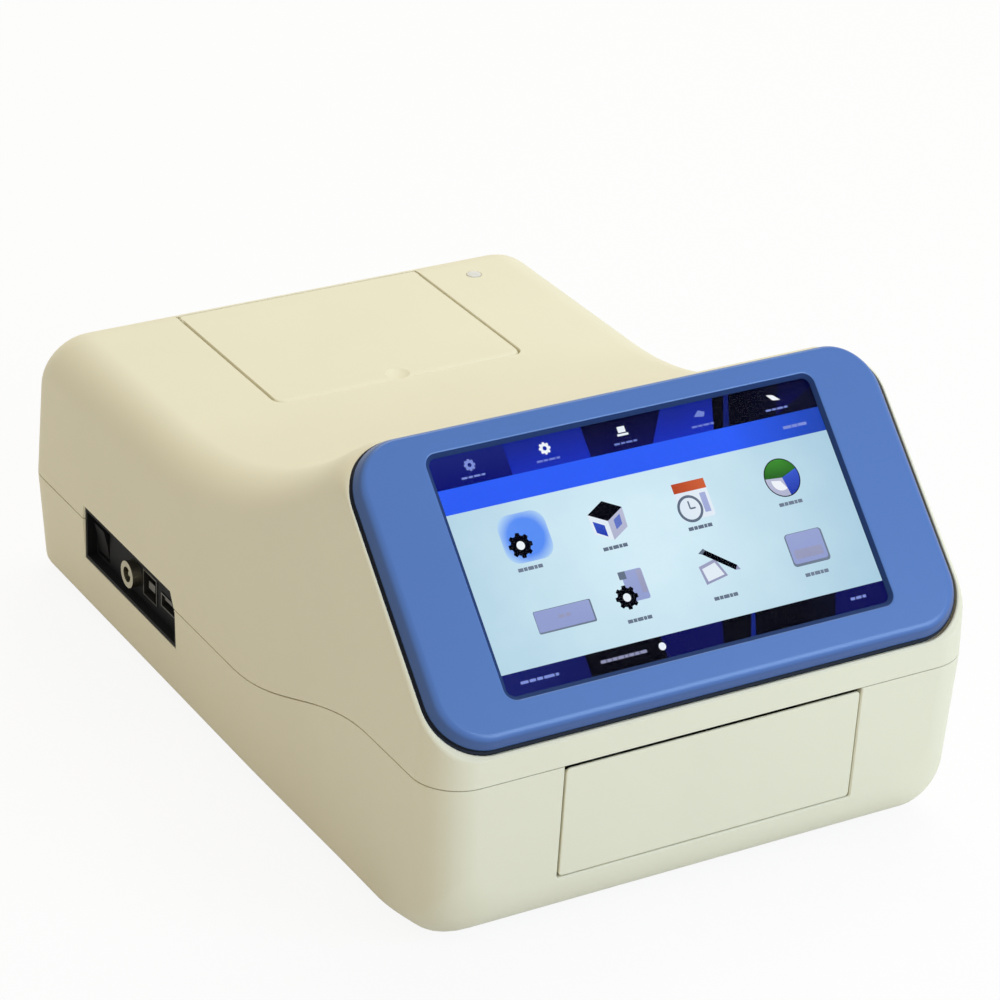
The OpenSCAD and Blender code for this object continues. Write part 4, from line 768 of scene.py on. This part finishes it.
def lit(name, near, far, start, end, line=None, centre=(0, 0)):
    mat = bpy.data.materials.new(name)
    mat.use_nodes = True
    new, link = mat.node_tree.nodes.new, mat.node_tree.links.new
    bsdf = mat.node_tree.nodes["Principled BSDF"]
    bsdf.inputs["Base Color"].default_value = SCREEN_DARK
    bsdf.inputs["Specular IOR Level"].default_value = 0
    bsdf.inputs["Emission Strength"].default_value = SCREEN_GLOW
    coord = new("ShaderNodeTexCoord")
    place = new("ShaderNodeVectorMath")
    link(coord.outputs["Object"], place.inputs[0])
    middle = SLOPE @ Vector((*centre, 0)) * MM
    if line:
        way = SLOPE.to_3x3() @ Vector((*line, 0))
        place.operation = "DOT_PRODUCT"
        place.inputs[1].default_value = way
        offset = middle.dot(way)
    else:
        place.operation = "DISTANCE"
        place.inputs[1].default_value = middle
        offset = 0
    share = new("ShaderNodeMapRange")
    share.inputs["From Min"].default_value = offset + start * MM
    share.inputs["From Max"].default_value = offset + end * MM
    link(place.outputs["Value"], share.inputs["Value"])
    cloud = new("ShaderNodeTexNoise")
    cloud.inputs["Scale"].default_value = CLOUD_SCALE
    cloud.inputs["Detail"].default_value = 4
    link(coord.outputs["Object"], cloud.inputs["Vector"])
    drift = new("ShaderNodeMapRange")
    drift.inputs["To Min"].default_value = -CLOUD_SPREAD
    drift.inputs["To Max"].default_value = CLOUD_SPREAD
    link(cloud.outputs["Fac"], drift.inputs["Value"])
    total = new("ShaderNodeMath")
    total.use_clamp = True
    link(share.outputs["Result"], total.inputs[0])
    link(drift.outputs["Result"], total.inputs[1])
    mix = new("ShaderNodeMix")
    mix.data_type = "RGBA"
    mix.inputs["A"].default_value = srgb(*near)
    mix.inputs["B"].default_value = srgb(*far)
    link(total.outputs["Value"], mix.inputs["Factor"])
    link(mix.outputs["Result"], bsdf.inputs["Emission Color"])
    return mat


ACROSS, UPWARD = (1, 0), (0, 1)
PAINTS = {
    "pale": lit("ui_pale", (220, 244, 253), (178, 212, 230), 12, 92, centre=(-8, 0)),
    "band": lit("ui_band", (46, 96, 252), (34, 70, 176), 40, 80, ACROSS),
    "navy": lit("ui_navy", (6, 14, 112), (24, 34, 120), 32, 44, UPWARD),
    "tab": lit("ui_tab", (22, 44, 184), (20, 36, 138), 32, 44, UPWARD),
    "deep": lit("ui_deep", (10, 10, 78), (3, 4, 38), 32, 44, UPWARD),
    "ink": lit("ui_ink", (2, 2, 10), (8, 10, 40), 40, 80, ACROSS),
    "foot": lit("ui_foot", (10, 12, 84), (22, 30, 104), -30, -75, ACROSS),
    "streak": lit("ui_streak", (24, 46, 150), (10, 14, 74), 0, 60, ACROSS),
    "white": lit("ui_white", (226, 238, 250), (250, 252, 255), 0, 60),
    "haze": lit("ui_haze", (92, 112, 196), (134, 150, 222), 0, 80),
    "glow": lit("ui_glow", (92, 146, 250), (204, 236, 251), 6.5, 12.0, centre=GLOW_AT),
    "button": lit("ui_button", (146, 158, 208), (176, 184, 226), -30, 20, UPWARD),
    "grey": lit("ui_grey", (150, 152, 186), (196, 198, 222), -24, 14, UPWARD),
    "orange": lit("ui_orange", (186, 70, 34), (214, 100, 60), 8, 24, ACROSS),
    "green": lit("ui_green", (24, 72, 26), (70, 156, 54), 8, 18, UPWARD),
    "royal": lit("ui_royal", (24, 44, 160), (70, 104, 222), 0, 16, UPWARD),
    "label": lit("ui_label", (96, 108, 128), (118, 130, 150), 0, 60),
}


class Picture:
    def __init__(self):
        self.bm = bmesh.new()

    def poly(self, pts, paint, layer):
        z = PICTURE_Z + LAYER_Z * layer
        verts = [self.bm.verts.new(SLOPE @ Vector((x, y, z))) for x, y in pts]
        self.bm.faces.new(verts).material_index = list(PAINTS).index(paint)

    def rect(self, x0, y0, x1, y1, paint, layer):
        self.poly([(x0, y0), (x1, y0), (x1, y1), (x0, y1)], paint, layer)

    def soft_rect(self, cx, cy, w, h, r, paint, layer):
        self.poly([p[:2] for p in rounded(w, h, r, 0, cx, cy, 5)], paint, layer)

    def disc(self, cx, cy, r, paint, layer, a0=0, a1=360, n=36):
        part = a1 - a0 < 360
        angles = [math.radians(lerp(a0, a1, k / n)) for k in range(n + part)]
        pts = [(cx + r * math.cos(a), cy + r * math.sin(a)) for a in angles]
        self.poly(([(cx, cy)] if part else []) + pts, paint, layer)

    def gear(self, cx, cy, r, paint, hole, layer):
        pts = []
        for k in range(8):
            for da, q in ((-15, 0.8), (-9, 1), (9, 1), (15, 0.8)):
                a = math.radians(45 * k + da)
                pts.append((cx + r * q * math.cos(a), cy + r * q * math.sin(a)))
        self.poly(pts, paint, layer)
        self.disc(cx, cy, r * 0.34, hole, layer + 1)

    def bars(self, cx, cy, widths, h, paint, layer, gap=0.5):
        x = cx - (sum(widths) + gap * (len(widths) - 1)) / 2
        for w in widths:
            self.rect(x, cy - h / 2, x + w, cy + h / 2, paint, layer)
            x += w + gap


def draw_bars(p):
    w, h = LCD_W / 2 + 1.5, LCD_H / 2 + 1.5
    tabs, band, foot = 31.9, 22.9, -34.8
    p.rect(-w, -h, w, h, "pale", 0)
    p.rect(-w, band, w, tabs, "band", 1)
    p.rect(-w, tabs, w, h, "navy", 1)
    p.rect(-47, tabs, 38, h, "tab", 2)
    p.poly([(-16, tabs), (-16, h), (17, h), (9, tabs)], "deep", 3)
    p.poly([(34, tabs), (38, h), (w, h), (w, tabs)], "ink", 3)
    p.poly([(38, tabs), (40.4, tabs), (44.8, h), (43, h)], "streak", 4)
    p.poly([(60, tabs), (66, h), (w, h), (w, 40)], "deep", 4)
    p.rect(-w, -h, w, foot, "foot", 1)
    p.rect(-44, -h, -14, foot, "ink", 2)
    p.poly([(8, -h), (11, foot), (58, foot), (54, -h)], "ink", 2)
    p.poly([(19, -h), (21, -h), (24.5, foot), (23, foot)], "streak", 3)
    p.bars(66, 27, (3.4, 2.2, 3.6), 1.1, "haze", 5, 0.3)
    p.bars(-63, -38.8, (3, 2.4, 2.2, 4, 1.2), 1.0, "haze", 5)
    p.bars(-30, -38.6, (2.2, 1.8, 1.9, 2.4, 1.4, 2.0, 1.8, 2.6), 1.1, "grey", 5, 0.3)
    p.disc(-14.6, -38.4, 1.4, "white", 5)
    p.bars(66, -38.6, (1.8, 2.2, 1.4), 1.0, "haze", 5)


def draw_tab_marks(p):
    for x in (-61.5, -32, -1.1, 30.5, 61.3):
        p.bars(x, 34.4, (2.2, 1.6, 2.4, 1.4), 0.7, "haze", 5)
    p.gear(-61.5, 38.6, 2.2, "haze", "navy", 5)
    p.gear(-32, 38.6, 2.3, "white", "tab", 5)
    p.rect(-3.3, 37.0, 1.1, 37.8, "white", 5)
    p.rect(-2.6, 38.2, 0.4, 40.4, "white", 5)
    p.poly([(28.2, 38), (30.6, 40), (33, 39), (32, 37.4)], "haze", 5)
    p.poly([(59, 40), (61, 37.6), (64, 37.4), (61.6, 39.6)], "white", 5)


def draw_upper_icons(p):
    p.soft_rect(*GLOW_AT, 18.5, 17.5, 5, "glow", 2)
    p.gear(-53.2, 7.2, 4.6, "ink", "white", 5)
    p.poly([(-25, 12.2), (-18, 16), (-11.2, 12.4), (-18.2, 8.6)], "ink", 4)
    p.poly([(-25, 12.2), (-18.2, 8.6), (-18.2, 1.6), (-24.6, 5)], "white", 4)
    p.poly([(-18.2, 8.6), (-11.2, 12.4), (-11.6, 5.2), (-18.2, 1.6)], "grey", 4)
    p.poly([(-24, 9.6), (-20, 7.4), (-20, 3.2), (-23.8, 5.4)], "royal", 5)
    p.poly([(-16, 8.6), (-13, 10.2), (-13.2, 6.6), (-16, 5)], "haze", 5)
    p.soft_rect(16.6, 8.6, 13.2, 13, 1, "white", 4)
    p.rect(10, 12.4, 23.2, 16, "orange", 5)
    p.rect(19.6, 3.8, 22, 11, "button", 5)
    p.disc(14.2, 6.2, 5.0, "label", 6)
    p.disc(14.2, 6.2, 4.0, "white", 7)
    p.rect(13.9, 6.2, 14.5, 9.0, "label", 8)
    p.rect(14.2, 5.9, 16.4, 6.5, "label", 8)
    p.disc(53.6, 9.6, 7.2, "ink", 3)
    p.disc(53.6, 9.6, 6.8, "green", 4, 20, 175)
    p.disc(53.6, 9.6, 6.8, "royal", 4, -80, 20)
    p.disc(53.6, 9.6, 6.8, "grey", 4, 175, 280)
    p.disc(52.4, 8.6, 3.6, "white", 5, 170, 300)
    for x, y in ((-52.5, -1.2), (-18.8, -0.9), (15.6, -0.9), (53.4, 0.0)):
        p.bars(x, y, *CAPTION)


def draw_lower_icons(p):
    p.soft_rect(-46.2, -20.3, 22.5, 8.2, 0.6, "label", 3)
    p.soft_rect(-46.4, -20.1, 21.7, 7.4, 0.5, "button", 4)
    p.bars(-46.2, -19.8, (2.4, 1.8), 1.2, "grey", 5)
    p.soft_rect(-16.4, -15.4, 8.2, 11.2, 0.8, "button", 4)
    p.rect(-21.6, -12.6, -18.8, -9.8, "label", 5)
    p.rect(-14.6, -18.6, -12.4, -10.2, "grey", 5)
    p.gear(-21.2, -19.0, 4.4, "ink", "white", 6)
    p.poly([(9.4, -14.6), (16.6, -13.0), (19.4, -19.8), (10.2, -21.4)], "grey", 4)
    p.poly([(10.4, -15.6), (16.0, -14.3), (18.2, -19.2), (11.2, -20.4)], "white", 5)
    p.poly([(12.4, -10.6), (14.2, -9.4), (24.2, -17.0), (23.0, -18.6)], "ink", 6)
    p.poly([(11.0, -10.0), (12.4, -10.6), (14.2, -9.4), (13.4, -8.6)], "label", 6)
    p.poly([(23.0, -18.6), (24.2, -17.0), (25.0, -18.8)], "grey", 6)
    p.soft_rect(53.5, -16.8, 15.4, 12.2, 1.4, "label", 3)
    p.soft_rect(53.4, -16.4, 14.2, 11, 1.1, "button", 4)
    p.soft_rect(53.4, -18.6, 11.6, 3.4, 0.8, "grey", 5)
    for x, y in ((-19.2, -27.4), (15.8, -26.9), (53.6, -26.5)):
        p.bars(x, y, *CAPTION)


def build_picture():
    p = Picture()
    for draw in (draw_bars, draw_tab_marks, draw_upper_icons, draw_lower_icons):
        draw(p)
    mesh = bpy.data.meshes.new("screen_picture")
    bmesh.ops.scale(p.bm, vec=(MM, MM, MM), verts=p.bm.verts)
    p.bm.to_mesh(mesh)
    p.bm.free()
    for paint in PAINTS.values():
        mesh.materials.append(paint)
    obj = bpy.data.objects.new("screen_picture", mesh)
    scene.collection.objects.link(obj)
    return place_piece(obj, "housing", "screen_picture")


def build_case():
    bm = bmesh.new()
    w, h, back = LCD_W + 11, LCD_H + 8, SEAT_LOW - WALL
    steps = ((14, 16, 1, back), (14, 16, 1, back + 2), (0, 0, 1.5, back + 2), (0, 0, 1.5, -0.5),
             (0.6, 0.6, 1.2, -0.2))
    loft(bm, [rounded(w - dw, h - dh, r, z) for dw, dh, r, z in steps], place=SLOPE)
    obj = finish_mesh(bm, "display_case", [dark_metal])
    return place_piece(obj, "housing", "screen_picture", "display_module")


build_picture()
build_case()


# Door flap with rounded edges, stiffening rib and hinge barrels

def build_door():
    bm = bmesh.new()
    mid = -DOOR_TOP - DOOR_H / 2

    def panel(inset, depth, r):
        roof = -DOOR_TOP - inset - RELIEF_DOWN * clamp((depth - RELIEF_IN) / (DOOR_T - RELIEF_IN), 0, 1)
        pts = rounded(DOOR_W - 2 * inset, DOOR_H - 2 * inset, r, -depth, 0, mid, 5)
        return [(x, min(y, roof), z) for x, y, z in pts]

    loft(bm, [panel(0, DOOR_T, 1.5), panel(0, RELIEF_IN, 1.5), panel(0, 0.5, 1.5), panel(0.07, 0.22, 1.4),
              panel(0.25, 0.06, 1.25), panel(0.5, 0, 1)], place=DOOR_FACE)
    rib(bm, DOOR_W - DOOR_RIB_SIDE, DOOR_H - DOOR_RIB_END, mid - DOOR_RIB_DROP, -2.9, -4.6, DOOR_FACE)
    for s in (-1, 1):
        start = (s * DOOR_HINGE_X - DOOR_BARREL_L / 2, DOOR_T, -(DOOR_TOP + DOOR_PIN_DROP))
        tube(bm, PIN_HOLE_R, DOOR_BARREL_R, 0, DOOR_BARREL_L, (0.3, 0.3), FACE @ along("x", start), 32)
    return place_piece(finish_mesh(bm, "door_panel", [cream]), "door", "cream_shell", "door_flap")


build_door()


# Hatch cover with a soft front edge, a thumb dent, a rib below and its rear barrel

def build_hatch():
    bm = bmesh.new()
    low = DECK_Z - HATCH_T

    def ring(share, z):
        w = HATCH_W - 2 * LID_SLACK - 2 * LID_SIDE_EDGE * share
        y0, y1 = HATCH_Y0 + LID_FRONT_EDGE * share, HATCH_Y1 + 2 * HATCH_R
        rear = HINGE_Y + LID_TAIL - LID_SIDE_EDGE * share
        pts = rounded(w, y1 - y0, HATCH_R - 2 * share, z, 0, (y0 + y1) / 2, 8)
        return [(x, min(y, rear), z) for x, y, z in pts]

    turns = [math.radians(ARC_STEP * k) for k in range(ARC_N + 1)]
    edge = [ring(1 - math.cos(a), DECK_Z - LID_EDGE * (1 - math.sin(a))) for a in turns]
    loft(bm, [ring(0, low)] + edge)
    obj = finish_mesh(bm, "hatch_lid", [cream], weighted=False)
    cut(obj, [thumb_dent()])
    bm = bmesh.new()
    half = HATCH_W / 2
    tube(bm, PIN_HOLE_R, BARREL_R, -half, half, (SOFT, SOFT), along("x", (0, HINGE_Y, HINGE_Z)), 48)
    span = HINGE_Y - HATCH_Y0
    middle = HATCH_Y0 + span / 2 + LID_RIB_BACK
    rib(bm, HATCH_W - LID_RIB_SIDE, span - LID_RIB_END, middle, low + 0.1, low - 2)
    join(obj, finish_mesh(bm, "hatch_barrel", [cream], weighted=False))
    smooth_edges(obj, 15)
    return place_piece(obj, "hatch", "cream_shell", "hatch_cover")


build_hatch()


# Status lens on the deck and four rubber feet

def build_lens():
    bm = bmesh.new()
    z = DECK_Z - WALL - 1
    dome = [(LENS_R, 0), (2.7, 0.2), (2.1, 0.33), (1.2, 0.4), (0.05, 0.42)]
    profile = [(LENS_FLANGE_R, z - 1), (LENS_FLANGE_R, z), (LENS_R, z)]
    turned(bm, profile + [(r, DECK_Z + up) for r, up in dome], along("z", (LENS_X, LENS_Y, 0)))
    obj = finish_mesh(bm, "status_lens", [lens_tint], weighted=False)
    return place_piece(obj, "housing", "lens_tint", "indicator_lens")


def build_feet():
    bm = bmesh.new()
    profile = [(4.5, 0.35), (5.2, 0), (7.4, 0), (FOOT_R, 0.6), (FOOT_R, 2.3), (7.6, 2.8), (7.2, FOOT_H),
               (2.5, FOOT_H), (2.4, 4.5)]
    for sx in (-1, 1):
        for sy in (-1, 1):
            turned(bm, profile, along("z", (sx * FOOT_X, sy * (BODY_D / 2 - FOOT_SET), 0)))
    obj = finish_mesh(bm, "rest_feet", [rubber], weighted=False)
    return place_piece(obj, "housing", "foot_rubber", "rubber_feet")


build_lens()
build_feet()


# Floor, light and background: the floor and world show white to the camera and in reflections

FLOOR_HALF, FLOOR_Z, FLOOR_GREY, FLOOR_ROUGH = 6, -0.0002, (0.86, 0.86, 0.86, 1), 0.9
FLOOR_DIRECT, FLOOR_MIRRORED = 0.9, 0.4
SKY_LIGHT, WHITE = (0.542, 0.498, 0.422, 1), (1, 1, 1, 1)
LAMPS = {
    "key": ((0.8, -1.4, 0.8), 0.9, 16.0, (0.51, 0.73, 1.0)),
    "top": ((0.6, 0.6, 1.65), 1.2, 13.3, (0.99, 1.0, 0.89)),
}
LAMP_AIM = (0, 0, 0.08)


def seen_rays(tree, direct, mirrored):
    path = tree.nodes.new("ShaderNodeLightPath")
    shares = {"Is Camera Ray": direct, "Is Glossy Ray": mirrored, "Is Transmission Ray": mirrored}
    out = None
    for name, share in shares.items():
        part = tree.nodes.new("ShaderNodeMath")
        part.operation = "MULTIPLY"
        part.inputs[1].default_value = share
        tree.links.new(path.outputs[name], part.inputs[0])
        if out is None:
            out = part.outputs[0]
            continue
        most = tree.nodes.new("ShaderNodeMath")
        most.operation = "MAXIMUM"
        tree.links.new(out, most.inputs[0])
        tree.links.new(part.outputs[0], most.inputs[1])
        out = most.outputs[0]
    return out


def build_floor():
    mesh = bpy.data.meshes.new("floor")
    h = FLOOR_HALF
    mesh.from_pydata([(-h, -h, 0), (h, -h, 0), (h, h, 0), (-h, h, 0)], [], [(0, 1, 2, 3)])
    floor = bpy.data.objects.new("floor", mesh)
    floor.location.z = FLOOR_Z
    scene.collection.objects.link(floor)
    mat = bpy.data.materials.new("pale_floor")
    mat.use_nodes = True
    tree = mat.node_tree
    bsdf = tree.nodes["Principled BSDF"]
    bsdf.inputs["Base Color"].default_value = FLOOR_GREY
    bsdf.inputs["Roughness"].default_value = FLOOR_ROUGH
    glow = tree.nodes.new("ShaderNodeEmission")
    mix = tree.nodes.new("ShaderNodeMixShader")
    tree.links.new(seen_rays(tree, FLOOR_DIRECT, FLOOR_MIRRORED), mix.inputs[0])
    tree.links.new(bsdf.outputs[0], mix.inputs[1])
    tree.links.new(glow.outputs[0], mix.inputs[2])
    tree.links.new(mix.outputs[0], tree.nodes["Material Output"].inputs["Surface"])
    mesh.materials.append(mat)


def build_light():
    world = bpy.data.worlds.new("studio")
    world.use_nodes = True
    scene.world = world
    sky = world.node_tree
    back = sky.nodes["Background"]
    tint = sky.nodes.new("ShaderNodeMix")
    tint.data_type = "RGBA"
    tint.inputs["A"].default_value = SKY_LIGHT
    tint.inputs["B"].default_value = WHITE
    sky.links.new(seen_rays(sky, 1, 1), tint.inputs["Factor"])
    sky.links.new(tint.outputs["Result"], back.inputs["Color"])
    back.inputs["Strength"].default_value = 1
    for name, (spot, size, power, color) in LAMPS.items():
        data = bpy.data.lights.new(name, "AREA")
        data.size = size
        data.energy = power
        data.color = color
        lamp = bpy.data.objects.new(name, data)
        lamp.location = spot
        lamp.rotation_euler = (Vector(LAMP_AIM) - Vector(spot)).to_track_quat("-Z", "Y").to_euler()
        scene.collection.objects.link(lamp)


build_floor()
build_light()
scene.view_settings.view_transform = "Standard"
